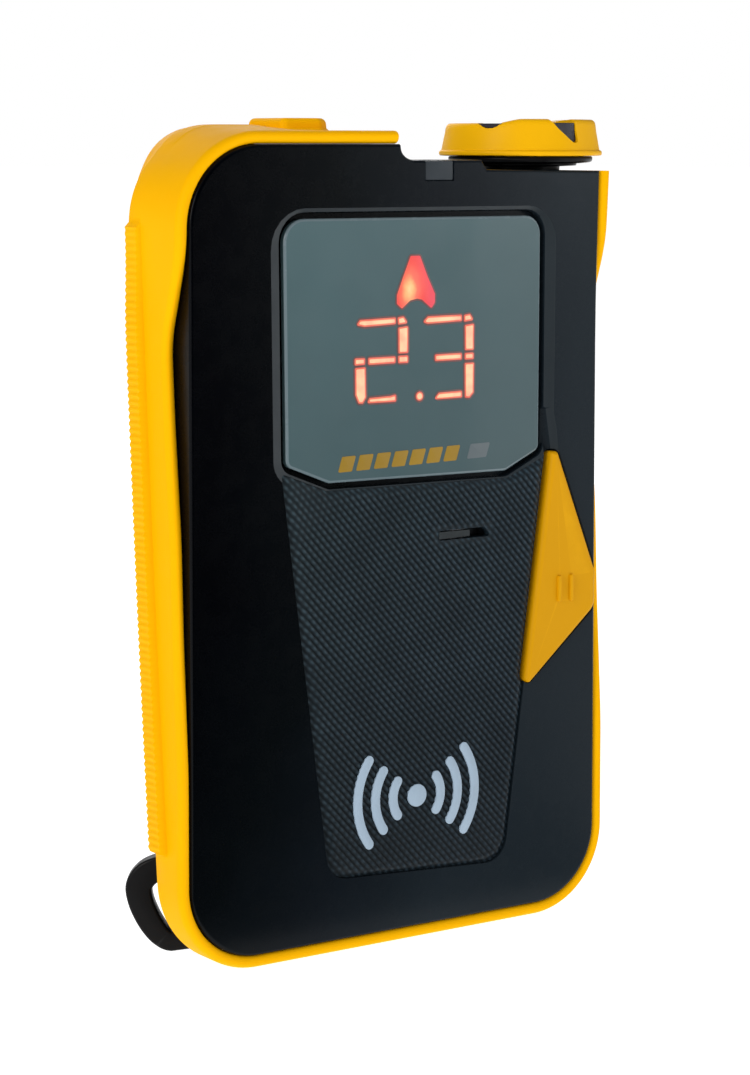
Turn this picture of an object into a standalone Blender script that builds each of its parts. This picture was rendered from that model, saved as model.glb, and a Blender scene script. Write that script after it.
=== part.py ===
"""Avalanche transceiver: a hand-held beacon with a folded-in housing, a lit display, a mode knob on top,
an options button on the front, three antennas and three AAA cells.

Frame: +Z up along the housing, the front face looks along -Y, +X is to the right of the front face.
The origin is on the floor under the middle of the width. All sizes below are millimetres; S turns them into metres.
"""

import math

import bmesh
import bpy
from mathutils import Matrix, Vector

S = 0.001
GAP = 0.3                      # air left between neighbouring pieces

# ---- housing outline (at the black covers' outside, seen from the front) ----
FACE_Y = -13.0                 # front face
HALF_TOP = 34.0                # half width at the top of the covers
HALF_BOTTOM = 34.5             # half width at the foot
COVER_FOOT = 1.8               # covers end this far above the floor; the bumper makes up the rest
COVER_TOP = 111.5
R_TOP = 11.0
R_FOOT = 10.5
STEP_X = -0.8                  # where the top steps down towards the knob
STEP_Z = 109.3
SHELF_X = 13.4                 # where it steps down again to the knob's shelf
SHELF_Z = 108.0
CORNER_Z = 107.7               # square top right corner
OUTLINE_H = COVER_TOP - COVER_FOOT

# ---- housing depth ----
PLATE_BACK = -10.4             # inside of the face plate
FRONT_END = -7.9               # the front cover's wall ends here
REAR_START = -6.9              # the rear cover's wall starts here; the seal lies between
WALL = 1.8
BACK_FOOT = 8.0                # back face at the floor
BACK_SLOPE = 0.053             # and how much it leans back per mm of height
HULL_SLOPE = 0.7               # how fast the sides draw in towards the back

# ---- bumper ----
BUMPER = 1.8                   # outside of the bumper over the covers
STRIP = 3.0                    # outside of the ribbed strip over the covers
CROWN = 0.8                    # how far the bumper bulges at the top left corner
STRIP_FOOT, STRIP_TOP = 16.5, 101.0
DIP = ((112.0, 0.0), (99.8, 0.0), (97.2, 0.2), (91.3, 1.95), (85.8, 3.8), (75.4, 3.1),
       (59.6, 1.6), (46.2, 1.1), (38.2, 0.6), (28.0, 0.0), (-5.0, 0.0))
SIDE_Z = (100.5, 97.2, 91.3, 85.8, 75.4, 59.6, 46.2, 38.2, 28.0, 16.5, 12.3)

# ---- display, grip and button, in the face's plane ----
LENS = ((-19.2, 101.6, 3.2), (-18.9, 68.5, 1.2), (-12.0, 65.8, 1.2), (18.1, 65.6, 1.2),
        (24.05, 68.35, 1.2), (24.1, 101.5, 2.6))
WINDOW = (-15.5, 20.5, 69.5, 98.0)
GRIP = ((-19.5, 66.6, 0.4), (-12.3, 10.6, 4.0), (18.0, 9.0, 2.6), (25.3, 66.5, 0.4),
        (18.6, 63.9, 0.8), (-12.3, 64.1, 0.8))
BUTTON = ((25.8, 67.9, 0.5), (21.15, 33.9, 0.6), (34.0, 44.85, 2.2), (34.0, 50.1, 2.2), (26.9, 67.9, 0.5))
SLOT = (6.2, 15.0, 56.5, 57.9)
STATUS = (3.7, 8.5, 106.5, 108.9)

# ---- knob ----
KNOB_X, KNOB_Y = 28.1, -2.5
KNOB_FOOT = 109.8
KNOB_TOP = 114.4
KNOB_R = 11.75
KNOB_R_TOP = 10.6
NOTCHES = (208.0, 270.0)       # the two slots in the knob's rim, in degrees round its axis
SHAFT_R = 2.3

# ---- cells ----
CELL_R, CELL_L = 5.25, 44.5    # a standard AAA cell
CELL_Y = 0.9
CELL_Z = 8.2
CELL_PITCH = 10.9

# ---- battery door ----
DOOR_HALF = 16.6
DOOR_Z0, DOOR_Z1 = 5.4, 60.0
DOOR_T = 1.6

COLOURS = {
    "yellow": ((0.90, 0.52, 0.01), 0.45, 0.0),
    "black": ((0.012, 0.014, 0.017), 0.28, 0.0),
    "grip": ((0.028, 0.040, 0.043), 0.7, 0.0),
    "lens": ((0.10, 0.16, 0.17), 0.08, 0.0),
    "seal": ((0.02, 0.02, 0.02), 0.8, 0.0),
    "board": ((0.01, 0.12, 0.05), 0.5, 0.0),
    "steel": ((0.60, 0.60, 0.62), 0.35, 1.0),
    "copper": ((0.65, 0.28, 0.10), 0.35, 1.0),
    "ferrite": ((0.05, 0.05, 0.055), 0.6, 0.0),
    "cell": ((0.25, 0.27, 0.30), 0.35, 0.4),
    "white": ((0.75, 0.75, 0.72), 0.5, 0.0),
}


for old in list(bpy.data.objects):
    bpy.data.objects.remove(old, do_unlink=True)


# ------------------------------------------------------------------ helpers
def material(name, kind):
    colour, rough, metal = COLOURS[kind]
    mat = bpy.data.materials.new(name)
    mat.use_nodes = True
    shader = mat.node_tree.nodes["Principled BSDF"]
    shader.inputs["Base Color"].default_value = (*colour, 1.0)
    shader.inputs["Roughness"].default_value = rough
    shader.inputs["Metallic"].default_value = metal
    return mat


def finish(name, bm, kind, origin=(0.0, 0.0, 0.0), smooth=False):
    """Turns a bmesh in millimetres into a named object whose origin is at origin (millimetres)."""
    bmesh.ops.remove_doubles(bm, verts=bm.verts, dist=1e-4)
    bmesh.ops.recalc_face_normals(bm, faces=bm.faces)
    bmesh.ops.translate(bm, verts=bm.verts, vec=-Vector(origin))
    bmesh.ops.scale(bm, verts=bm.verts, vec=(S, S, S))
    mesh = bpy.data.meshes.new(name)
    bm.to_mesh(mesh)
    bm.free()
    if smooth:
        mesh.shade_smooth()
        mesh.set_sharp_from_angle(angle=math.radians(35))
    mesh.materials.append(material(name, kind))
    obj = bpy.data.objects.new(name, mesh)
    obj.location = Vector(origin) * S
    bpy.context.scene.collection.objects.link(obj)
    return obj


def helper(obj):
    obj.hide_render = True
    obj.display_type = "WIRE"
    return obj


def cut(obj, *cutters):
    for cutter in cutters:
        helper(cutter)
        mod = obj.modifiers.new("cut_" + cutter.name, "BOOLEAN")
        mod.operation = "DIFFERENCE"
        mod.solver = "EXACT"
        mod.object = cutter
    return obj


def join(obj, *others):
    for other in others:
        helper(other)
        mod = obj.modifiers.new("join_" + other.name, "BOOLEAN")
        mod.operation = "UNION"
        mod.solver = "EXACT"
        mod.object = other
    return obj


def loft(bm, rings, closed=True, caps=True):
    """Skins a list of rings of points. Each ring has the same number of points, and closed says that a ring closes."""
    rows = [[bm.verts.new(p) for p in ring] for ring in rings]
    count = len(rings[0])
    last = count if closed else count - 1
    for low, high in zip(rows, rows[1:]):
        for i in range(last):
            j = (i + 1) % count
            bm.faces.new((low[i], low[j], high[j], high[i]))
    if caps:
        bm.faces.new(rows[0])
        bm.faces.new(rows[-1])
    return rows


def rounded(corners, steps):
    """Polygon corners (x, z, radius) turned into points, with each corner filleted in steps pieces."""
    out = []
    count = len(corners)
    for i, (x, z, radius) in enumerate(corners):
        here = Vector((x, z))
        before = (Vector(corners[i - 1][:2]) - here).normalized()
        after = (Vector(corners[(i + 1) % count][:2]) - here).normalized()
        half = before.angle(after) / 2
        reach = radius / math.tan(half)
        centre = here + (before + after).normalized() * (radius / math.sin(half))
        start, end = here + before * reach, here + after * reach
        a0, a1 = (start - centre), (end - centre)
        turn = math.atan2(a0.x * a1.y - a0.y * a1.x, a0.dot(a1))
        for k in range(steps + 1):
            t = turn * k / steps
            out.append(
                (
                    centre.x + a0.x * math.cos(t) - a0.y * math.sin(t),
                    centre.y + a0.x * math.sin(t) + a0.y * math.cos(t),
                )
            )
    return out


def grown(points, by):
    """The polygon's points moved outward by a distance, along mitred normals. The polygon runs anticlockwise."""
    out = []
    count = len(points)
    for i, (x, z) in enumerate(points):
        (ax, az), (bx, bz) = points[i - 1], points[(i + 1) % count]
        e1 = Vector((x - ax, z - az)).normalized()
        e2 = Vector((bx - x, bz - z)).normalized()
        n1, n2 = Vector((e1.y, -e1.x)), Vector((e2.y, -e2.x))
        mitre = (n1 + n2) / max(0.35, 1 + n1.dot(n2))
        out.append((x + mitre.x * by, z + mitre.y * by))
    return out


def prism(name, points, y0, y1, kind, smooth=False, origin=(0, 0, 0)):
    """A flat plate with the outline points (x, z), from depth y0 to y1. A depth may be a function of z."""
    f0 = y0 if callable(y0) else (lambda z: y0)
    f1 = y1 if callable(y1) else (lambda z: y1)
    bm = bmesh.new()
    loft(bm, [[(x, f0(z), z) for x, z in points], [(x, f1(z), z) for x, z in points]])
    return finish(name, bm, kind, origin, smooth)


def frame_plate(name, outer, inner, y0, y1, kind):
    """A flat ring between two outlines with the same number of points. A depth may be a function of z."""
    f0 = y0 if callable(y0) else (lambda z: y0)
    f1 = y1 if callable(y1) else (lambda z: y1)
    bm = bmesh.new()
    rows = loft(
        bm,
        [
            [(x, f0(z), z) for x, z in inner],
            [(x, f0(z), z) for x, z in outer],
            [(x, f1(z), z) for x, z in outer],
            [(x, f1(z), z) for x, z in inner],
        ],
        caps=False,
    )
    count = len(inner)
    for i in range(count):
        j = (i + 1) % count
        bm.faces.new((rows[3][i], rows[3][j], rows[0][j], rows[0][i]))
    return finish(name, bm, kind)


def box(name, low, high, kind, bevel=0.0, origin=(0, 0, 0)):
    bm = bmesh.new()
    size = [h - l for l, h in zip(low, high)]
    middle = [(h + l) / 2 for l, h in zip(low, high)]
    bmesh.ops.create_cube(
        bm, size=1.0, matrix=Matrix.Translation(middle) @ Matrix.Diagonal((*size, 1.0))
    )
    if bevel:
        bmesh.ops.bevel(
            bm, geom=bm.edges[:], offset=bevel, segments=1, affect="EDGES", profile=0.5
        )
    return finish(name, bm, kind, origin)


AXES = {
    "X": Matrix.Rotation(math.pi / 2, 4, "Y"),
    "Y": Matrix.Rotation(-math.pi / 2, 4, "X"),
    "Z": Matrix.Identity(4),
}


def turned(name, profile, axis, centre, kind, count=24, origin=None, hollow=False):
    """A turned piece: profile is (radius, height) from foot to top, along axis, standing at centre.
    A hollow piece's profile is a closed loop that doesn't touch the axis."""
    bm = bmesh.new()
    rings = []
    for radius, height in profile:
        rings.append(
            [
                (
                    radius * math.cos(2 * math.pi * k / count),
                    radius * math.sin(2 * math.pi * k / count),
                    height,
                )
                for k in range(count)
            ]
        )
    if hollow:
        rows = loft(bm, rings, caps=False)
        for i in range(count):
            j = (i + 1) % count
            bm.faces.new((rows[-1][i], rows[-1][j], rows[0][j], rows[0][i]))
    else:
        loft(bm, rings)
    bmesh.ops.transform(bm, verts=bm.verts, matrix=Matrix.Translation(centre) @ AXES[axis])
    return finish(name, bm, kind, origin or (0, 0, 0), smooth=True)


# ------------------------------------------------------------------ housing outline
def arc(cx, cz, radius, a0, a1, steps):
    return [
        (
            cx + radius * math.cos(math.radians(a0 + (a1 - a0) * k / steps)),
            cz + radius * math.sin(math.radians(a0 + (a1 - a0) * k / steps)),
        )
        for k in range(steps + 1)
    ]


def half_width(z):
    share = (CORNER_Z - z) / (CORNER_Z - COVER_FOOT)
    return HALF_TOP + (HALF_BOTTOM - HALF_TOP) * max(0.0, share)


def band_path(steps=6):
    """The part of the outline that the bumper follows: top edge, left side, foot and right side, anticlockwise."""
    foot_c = COVER_FOOT + R_FOOT
    top_c = COVER_TOP - R_TOP
    path = [(STEP_X, COVER_TOP), (-5.2, COVER_TOP), (-15.4, COVER_TOP)]
    path += arc(-HALF_TOP + R_TOP, top_c, R_TOP, 90, 180, steps)
    path += [(-half_width(z), z) for z in SIDE_Z[1:-1]]
    path += arc(-HALF_BOTTOM + R_FOOT, foot_c, R_FOOT, 180, 270, steps)
    path += [(-19.0, COVER_FOOT), (-8.0, COVER_FOOT), (8.0, COVER_FOOT), (19.0, COVER_FOOT)]
    path += arc(HALF_BOTTOM - R_FOOT, foot_c, R_FOOT, 270, 360, steps)
    path += [(half_width(z), z) for z in reversed(SIDE_Z[:-1])]
    path += [(half_width(CORNER_Z), CORNER_Z)]
    return path


def shelf_path():
    """The rest of the outline: the knob's shelf and the step up to the top edge."""
    fillet = [
        (STEP_X + 0.3 + 2.6 * (1 - math.cos(a)), STEP_Z + 2.2 * (1 - math.sin(a)))
        for a in (math.pi / 2 * k / 4 for k in range(4, -1, -1))
    ]
    return [(SHELF_X + 0.9, SHELF_Z), (SHELF_X, STEP_Z)] + fillet


OUTLINE = band_path() + shelf_path()


def inset(points, side, foot, top):
    """The outline drawn in by side on both sides, foot at the bottom and top at the top."""
    out = []
    for x, z in points:
        hw = half_width(z)
        out.append(
            (x * (hw - side) / hw,
             COVER_FOOT + foot + (z - COVER_FOOT) * (OUTLINE_H - foot - top) / OUTLINE_H)
        )
    return out


def lookup(table, z):
    """Straight-line value at z from (z, value) pairs that fall in z."""
    for (z1, v1), (z0, v0) in zip(table, table[1:]):
        if z0 <= z <= z1:
            return v0 + (v1 - v0) * (z - z0) / (z1 - z0)
    return table[-1][1]


def widest(z):
    """Depth of the housing's widest line."""
    return -8.1 + 0.099 * z - 0.00021 * z * z


def cover_turn(z):
    """Depth at which the covers' sides start to draw in."""
    return -6.4 + 0.058 * z


def back(z):
    return BACK_FOOT + BACK_SLOPE * z


def hull(deeper, thinner):
    """The rear cover's rings from its front edge to its back, drawn in by thinner and its back moved by deeper."""
    rings = []
    t = thinner
    stages = (
        (lambda z: REAR_START, 0.0, 0.0, 0.0),
        (cover_turn, 0.0, 0.0, 0.0),
        (lambda z: back(z) - 3.4, None, 0.0, 0.8),
        (lambda z: back(z) - 1.0, 1.9, 0.7, 1.8),
        (lambda z: back(z), 4.6, 2.8, 4.4),
    )
    for depth, side, foot, top in stages:
        ring = []
        for x, z in OUTLINE:
            draw = HULL_SLOPE * (back(z) - 3.4 - cover_turn(z))
            if side is None:
                s = draw
            elif depth(0) > 2.0:
                s = draw + side
            else:
                s = side
            (px, pz), = inset([(x, z)], s + t, foot + t, top + t)
            y = depth(pz)
            if y > REAR_START:
                y = max(y - (deeper if depth(0) > 2.0 else 0.0), REAR_START + 0.1)
            ring.append((px, y, pz))
        rings.append(ring)
    return rings


# ------------------------------------------------------------------ front cover
def front_cover():
    bm = bmesh.new()
    edge = 0.35
    inner = inset(OUTLINE, WALL, WALL, WALL)
    small = inset(OUTLINE, edge, edge, edge)
    rings = [
        [(x, FACE_Y, z) for x, z in small],
        [(x, FACE_Y + edge, z) for x, z in OUTLINE],
        [(x, FRONT_END, z) for x, z in OUTLINE],
        [(x, FRONT_END, z) for x, z in inner],
        [(x, PLATE_BACK, z) for x, z in inner],
    ]
    loft(bm, rings)
    body = finish("front_cover", bm, "black")
    lens = rounded(LENS, 3)
    cut(
        body,
        prism("cut_lens", grown(lens, 0.7), FACE_Y - 1, -11.1, "black"),
        box("cut_window", (WINDOW[0], -12, WINDOW[2]), (WINDOW[1], -9, WINDOW[3]), "black"),
        prism("cut_grip", grown(rounded(GRIP, 3), 0.3), FACE_Y - 1, -11.4, "black"),
        prism("cut_button", grown(rounded(BUTTON, 3), 0.35), FACE_Y - 1, -9.0, "black"),
        box("cut_slot", (SLOT[0], -12.5, SLOT[2]), (SLOT[1], -9, SLOT[3]), "black"),
        box("cut_status", (STATUS[0] - 0.3, -15, STATUS[2] - 0.3), (STATUS[1] + 0.3, -9, STATUS[3] - 0.8), "black"),
    )
    posts = []
    for i, (x, z) in enumerate(POSTS):
        end = back(z) - WALL - 1.5
        posts.append(
            turned(f"post_{i + 1}", ((2.0, PLATE_BACK - 0.6), (2.0, end - 6.0), (2.0, end)), "Y", (x, 0, z), "black", 12)
        )
        posts.append(
            turned(f"pilot_{i + 1}", ((1.05, end - 7.0), (1.05, end + 1.0)), "Y", (x, 0, z), "black", 10)
        )
    join(body, *posts[::2])
    cut(body, *posts[1::2])
    return body


POSTS = ((-19.9, 9.0), (19.9, 9.0), (-20.0, 99.5), (14.0, 100.5))


def rear_cover():
    outer = hull(0.0, 0.0)
    inner = hull(WALL, WALL)
    bm = bmesh.new()
    rings = list(reversed(inner)) + outer
    loft(bm, rings)
    body = finish("rear_cover", bm, "black")
    for i, (x, z) in enumerate(POSTS):
        cut(
            body,
            turned(f"screw_hole_{i + 1}", ((1.5, 0.0), (1.5, 20.0)), "Y", (x, 0, z), "black", 12),
            turned(f"screw_seat_{i + 1}", ((2.6, back(z) - 1.1), (2.6, back(z) + 3)), "Y", (x, 0, z), "black", 16),
        )
    door = rounded(DOOR, 3)
    cut(
        body,
        prism("cut_door", grown(door, 0.3), lambda z: back(z) - 6, lambda z: back(z) + 3, "black"),
        turned("cut_shaft", ((2.7, 100.0), (2.7, 112.0)), "Z", (KNOB_X, KNOB_Y, 0), "black", 16),
        loop_solid("cut_loop", 0.3),
    )
    join(
        body,
        box("screw_tab", (-3.6, back(58) - 5.2, 54.2), (3.6, back(58) - 2.2, 63.0), "black"),
        box("tab_root", (-3.6, back(58) - 3.0, 60.6), (3.6, back(61) - 0.8, 63.0), "black"),
    )
    cut(body, turned("cut_tab", ((2.0, 0.0), (2.0, 30.0)), "Y", (0, 0, DOOR_SCREW_Z), "black", 16))
    return body


DOOR = ((-DOOR_HALF, DOOR_Z0, 0.8), (DOOR_HALF, DOOR_Z0, 0.8), (DOOR_HALF, 54.0, 2.0), (6.0, DOOR_Z1, 2.0), (-6.0, DOOR_Z1, 2.0), (-DOOR_HALF, 54.0, 2.0))
DOOR_SCREW_Z = 56.5


# ------------------------------------------------------------------ bumper
def band_normals(path):
    out = []
    for i, (x, z) in enumerate(path):
        ax, az = path[max(0, i - 1)]
        bx, bz = path[min(len(path) - 1, i + 1)]
        t = Vector((bx - ax, bz - az)).normalized()
        out.append(Vector((t.y, -t.x)))
    return out


def strip_share(x, z):
    """1 on the ribbed strips down the sides, 0 elsewhere."""
    if abs(x) < HALF_TOP - 1.5:
        return 0.0
    return 1.0 if STRIP_FOOT - 0.1 <= z <= STRIP_TOP + 0.1 else 0.0


def bumper_end(x, z):
    """Depth of the bumper's rear edge."""
    if z > 105:
        return 7.0
    if z < COVER_FOOT + 1 and abs(x) < 20:
        return 7.0
    if abs(x) > HALF_TOP - 2 and z >= 16:
        return widest(z) + 5.0
    if z < 30:
        low = -5.4 if x < 0 else -2.6
        share = max(0.0, min(1.0, (23.0 - abs(x)) / 4.0))
        return low + (7.0 - low) * share
    share = (105 - z) / 4.5
    return widest(z) + 5.0 + (7.0 - widest(z) - 5.0) * (1 - min(1.0, share))


def crown(x, z):
    """The bulge over the top left corner: full at the top of the corner, gone under the thumb pad and down the side."""
    if x > -12.0 or z < 108.8:
        return 0.0
    return CROWN * min(1.0, (-12.0 - x) / 6.0) * min(1.0, (z - 108.8) / 2.2)


def side_bumper():
    path = band_path()
    normals = band_normals(path)
    normals[-1] = Vector((1, 0))
    normals[0] = Vector((0, 1))
    rings = []
    for (x, z), n in zip(path, normals):
        on_side = abs(x) > HALF_TOP - 2 and z < 101
        yf = FACE_Y + (lookup(DIP, z) if abs(x) > HALF_TOP - 0.6 else 0.0)
        s = strip_share(x, z)
        yw = widest(z)
        end = bumper_end(x, z)
        flat = abs(n.y) > 0.9
        rear = STRIP if s else BUMPER
        lean = HULL_SLOPE * abs(n.x) * (0.65 + 0.35 * abs(n.x))
        fall = lean * max(0.0, end - yw)
        inner_fall = lean * max(0.0, end - cover_turn(z))
        outer_end = max(rear - fall, GAP - inner_fall + 0.8)
        front = yw - 3.0 if yw - 3.0 > yf + 1.0 else yf + 1.0
        c = crown(x, z)
        section = [
            (GAP, yf),
            (BUMPER - 0.5, yf),
            (BUMPER, yf + 0.7),
            (BUMPER + 0.85 * c, front),
            (rear + c, front + 0.25),
            (rear + c, max(yw, front + 0.6)),
            (outer_end + 0.4 * c, end),
            (GAP - inner_fall, end),
            (GAP, min(end - 0.2, max(cover_turn(z), front + 0.3))),
        ]
        rings.append([(x + n.x * d, y, z + n.y * d) for d, y in section])
    bm = bmesh.new()
    loft(bm, rings)
    body = finish("side_bumper", bm, "yellow")
    pad = [(-14.3, -5.0), (-8.0, -5.0), (-6.0, -3.2), (-6.0, 2.4), (-8.0, 4.2), (-14.3, 4.2)]
    bm = bmesh.new()
    zt = COVER_TOP + BUMPER
    loft(bm, [[(x, y, zt - 1.0) for x, y in pad], [(x, y, zt + 0.6) for x, y in pad],
              [(x + (0.8 if x < -10 else -1.3), y * 0.86, 115.0) for x, y in pad]])
    join(body, finish("thumb_pad", bm, "yellow"))
    return body


# ------------------------------------------------------------------ lanyard loop
LOOP_ROOT = Vector((-31.4, -1.0))
LOOP_OUT = Vector((-math.cos(math.radians(35)), math.sin(math.radians(35))))
LOOP_ACROSS = Vector((math.sin(math.radians(35)), math.cos(math.radians(35))))
# the bar's middle line and its half width: out from the root, up, half width
LOOP_LINE = ((-3.6, 13.0, 1.3), (-0.6, 13.0, 1.5), (1.2, 12.6, 1.75), (2.9, 11.3, 1.9), (3.95, 9.6, 1.85),
             (3.9, 8.0, 1.75), (3.2, 6.0, 1.65), (2.25, 4.3, 1.5), (1.1, 2.95, 1.4), (-0.5, 2.15, 1.2), (-3.6, 2.9, 1.2))


def loop_solid(name, grow):
    """The closed loop: a flat bar bent into a D. Its straight root lies inside the rear cover."""
    thick = 1.4 + grow
    line = [Vector(p[:2]) for p in LOOP_LINE]
    count = len(line)
    rings = []
    for i, p in enumerate(line):
        e1 = (p - line[i - 1]).normalized()
        e2 = (line[(i + 1) % count] - p).normalized()
        n1, n2 = Vector((e1.y, -e1.x)), Vector((e2.y, -e2.x))
        n = (n1 + n2) / max(0.5, 1 + n1.dot(n2))
        half = LOOP_LINE[i][2] + grow
        ring = []
        for a, b in ((half, -thick + 0.5), (half, thick - 0.5), (half - 0.5, thick), (-half + 0.5, thick),
                     (-half, thick - 0.5), (-half, -thick + 0.5), (-half + 0.5, -thick), (half - 0.5, -thick)):
            q = p + n * a
            flat = LOOP_ROOT + LOOP_OUT * q.x + LOOP_ACROSS * b
            ring.append((flat.x, flat.y, q.y))
        rings.append(ring)
    bm = bmesh.new()
    rows = loft(bm, rings, caps=False)
    size = len(rows[0])
    for i in range(size):
        j = (i + 1) % size
        bm.faces.new((rows[-1][i], rows[-1][j], rows[0][j], rows[0][i]))
    return finish(name, bm, "black")


# ------------------------------------------------------------------ knob
def knob_slots(name, grow, low, high, kind):
    """The star-shaped space in the knob's top: a round middle and one arm to each notch in the rim."""
    half = 1.6 + grow
    reach = KNOB_R + 1.0 if grow else KNOB_R_TOP - 1.2
    hub = 4.2 + grow
    points = []
    start = math.asin(half / hub)
    angles = [math.radians(a) for a in NOTCHES]
    for i, a in enumerate(angles):
        nxt = angles[(i + 1) % len(angles)] + (2 * math.pi if i == len(angles) - 1 else 0)
        out = Vector((math.cos(a), math.sin(a)))
        side = Vector((-out.y, out.x))
        points.append(out * reach - side * half)
        points.append(out * reach + side * half)
        first, last = a + start, nxt - start
        steps = max(2, int((last - first) / 0.35))
        for k in range(steps + 1):
            t = first + (last - first) * k / steps
            points.append(Vector((hub * math.cos(t), hub * math.sin(t))))
    bm = bmesh.new()
    loft(bm, [[(KNOB_X + p.x, KNOB_Y + p.y, z) for p in points] for z in (low, high)])
    return finish(name, bm, kind, (KNOB_X, KNOB_Y, low) if not grow else (0, 0, 0))


def mode_knob():
    axis = (KNOB_X, KNOB_Y, 0)
    body = turned(
        "mode_knob",
        ((KNOB_R - 0.5, KNOB_FOOT), (KNOB_R, KNOB_FOOT + 0.5), (KNOB_R - 0.05, KNOB_FOOT + 0.9),
         (KNOB_R_TOP + 0.25, KNOB_TOP - 0.5), (KNOB_R_TOP - 0.4, KNOB_TOP)),
        "Z", axis, "yellow", 36, origin=(KNOB_X, KNOB_Y, KNOB_FOOT),
    )
    ridge = []
    for side in (1, -1):
        for k in range(7):
            t = math.radians(-42 + 14 * k)
            ridge.append((side * 9.4 * math.cos(t), side * 6.0 * math.sin(t)))
    bm = bmesh.new()
    turn = math.radians(239.0)
    loft(bm, [[(KNOB_X + s * (x * math.cos(turn) - y * math.sin(turn)),
                KNOB_Y + s * (x * math.sin(turn) + y * math.cos(turn)), z) for x, y in ridge]
              for s, z in ((1.0, KNOB_TOP - 1.0), (1.0, KNOB_TOP + 0.2), (0.93, 115.0))])
    join(body, finish("knob_ridge", bm, "yellow"))
    cut(
        body,
        turned("cut_knob_bore", ((SHAFT_R + 0.25, KNOB_FOOT - 1), (SHAFT_R + 0.25, 111.6)), "Z", axis, "yellow", 16),
        knob_slots("cut_knob_slots", 0.35, 112.1, 117.0, "yellow"),
    )
    return body


# ------------------------------------------------------------------ build: shells and what shows
front_cover()
rear_cover()
side_bumper()

seal_out, seal_in = inset(OUTLINE, 0.45, 0.45, 0.45), inset(OUTLINE, 1.4, 1.4, 1.4)
frame_plate("housing_seal", seal_out, seal_in, FRONT_END + 0.2, REAR_START - 0.2, "seal")

lens_points = rounded(LENS, 3)
prism("display_lens", lens_points, -12.6, -11.65, "lens")
gasket_out = grown(lens_points, -0.3)
gasket_in = grown(lens_points, -1.5)
frame_plate("lens_gasket", gasket_out, gasket_in, -11.5, -11.25, "seal")

grip = prism("grip_pad", rounded(GRIP, 3), FACE_Y - 0.15, -11.7, "grip")
cut(grip, box("cut_grip_slot", (SLOT[0], -16, SLOT[2]), (SLOT[1], -9, SLOT[3]), "grip"),
    prism("cut_grip_side", grown(rounded(BUTTON, 3), 0.7), -16, -9, "grip"))

prism("status_light_window", rounded(((STATUS[0], STATUS[2], 0.3), (STATUS[1], STATUS[2], 0.3),
                                      (STATUS[1], STATUS[3] - 1.1, 0.3), (STATUS[0], STATUS[3] - 1.1, 0.3)), 2),
      -12.8, -10.7, "lens")

# options button: its origin is where it rests on its travel axis
prism("options_button", grown(rounded(BUTTON, 3), 0.0), FACE_Y - 0.7, -10.3, "yellow", origin=(27.8, FACE_Y, 49.0))
box("button_membrane", (23.4, -9.0, 44.0), (30.6, -8.5, 54.0), "seal", 0.2)
box("tact_switch", (25.0, -8.2, 46.3), (30.2, -7.3, 51.5), "steel", 0.2)

# ------------------------------------------------------------------ knob group
mode_knob()
knob_slots("knob_lock_button", 0.0, 113.2, 114.3, "black")
turned("knob_shaft", ((SHAFT_R, 103.4), (SHAFT_R, 111.2)), "Z", (KNOB_X, KNOB_Y, 0), "steel", 16,
       origin=(KNOB_X, KNOB_Y, KNOB_FOOT))
turned("knob_collar", ((3.9, 108.3), (7.9, 108.3), (7.9, 108.75), (10.3, 108.95), (10.3, 109.5), (2.7, 109.5), (2.7, 109.1), (3.9, 109.1)),
       "Z", (KNOB_X, KNOB_Y, 0), "black", 20, hollow=True)
turned("knob_o_ring", ((2.6, 108.35), (3.5, 108.35), (3.7, 108.65), (3.5, 108.95), (2.6, 108.95), (2.45, 108.65)),
       "Z", (KNOB_X, KNOB_Y, 0), "seal", 16, hollow=True)
box("rotary_switch", (25.1, -6.0, 93.4), (30.9, 0.2, 103.1), "steel", 0.3)

# ------------------------------------------------------------------ electronics
box("main_board", (-29.5, -7.1, 14.0), (22.0, -6.1, 96.0), "board")
box("display_module", (-14.5, -10.9, 70.5), (19.5, -7.4, 97.0), "black", 0.3)
turned("speaker", ((6.6, 0.0), (6.9, 0.3), (6.9, 2.2), (5.4, 2.6)), "Y", (10.6, -10.1, 57.2), "steel", 20)
box("status_led", (4.6, -9.9, 105.6), (7.6, -8.6, 107.0), "white", 0.15)
box("shield_can", (-12.0, -5.8, 58.6), (4.0, -3.6, 68.0), "steel", 0.3)

# ------------------------------------------------------------------ antennas: ferrite cores in their windings
def antenna(name, axis, centre, half, core, wind):
    low, high = -half, half
    turned(name + "_core", ((core, low), (core, high)), axis, centre, "ferrite", 12)
    inner, short = core + 0.25, half * 0.82
    turned(name + "_coil", ((inner, -short), (wind, -short), (wind, short), (inner, short)),
           axis, centre, "copper", 16, hollow=True)


antenna("antenna_x", "Z", (-23.8, -2.4, 52.0), 36.0, 1.8, 2.7)
antenna("antenna_y", "X", (-2.0, 2.2, 89.5), 19.0, 2.2, 3.2)
antenna("antenna_z", "Y", (12.5, 1.9, 74.5), 5.6, 3.2, 6.2)

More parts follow.
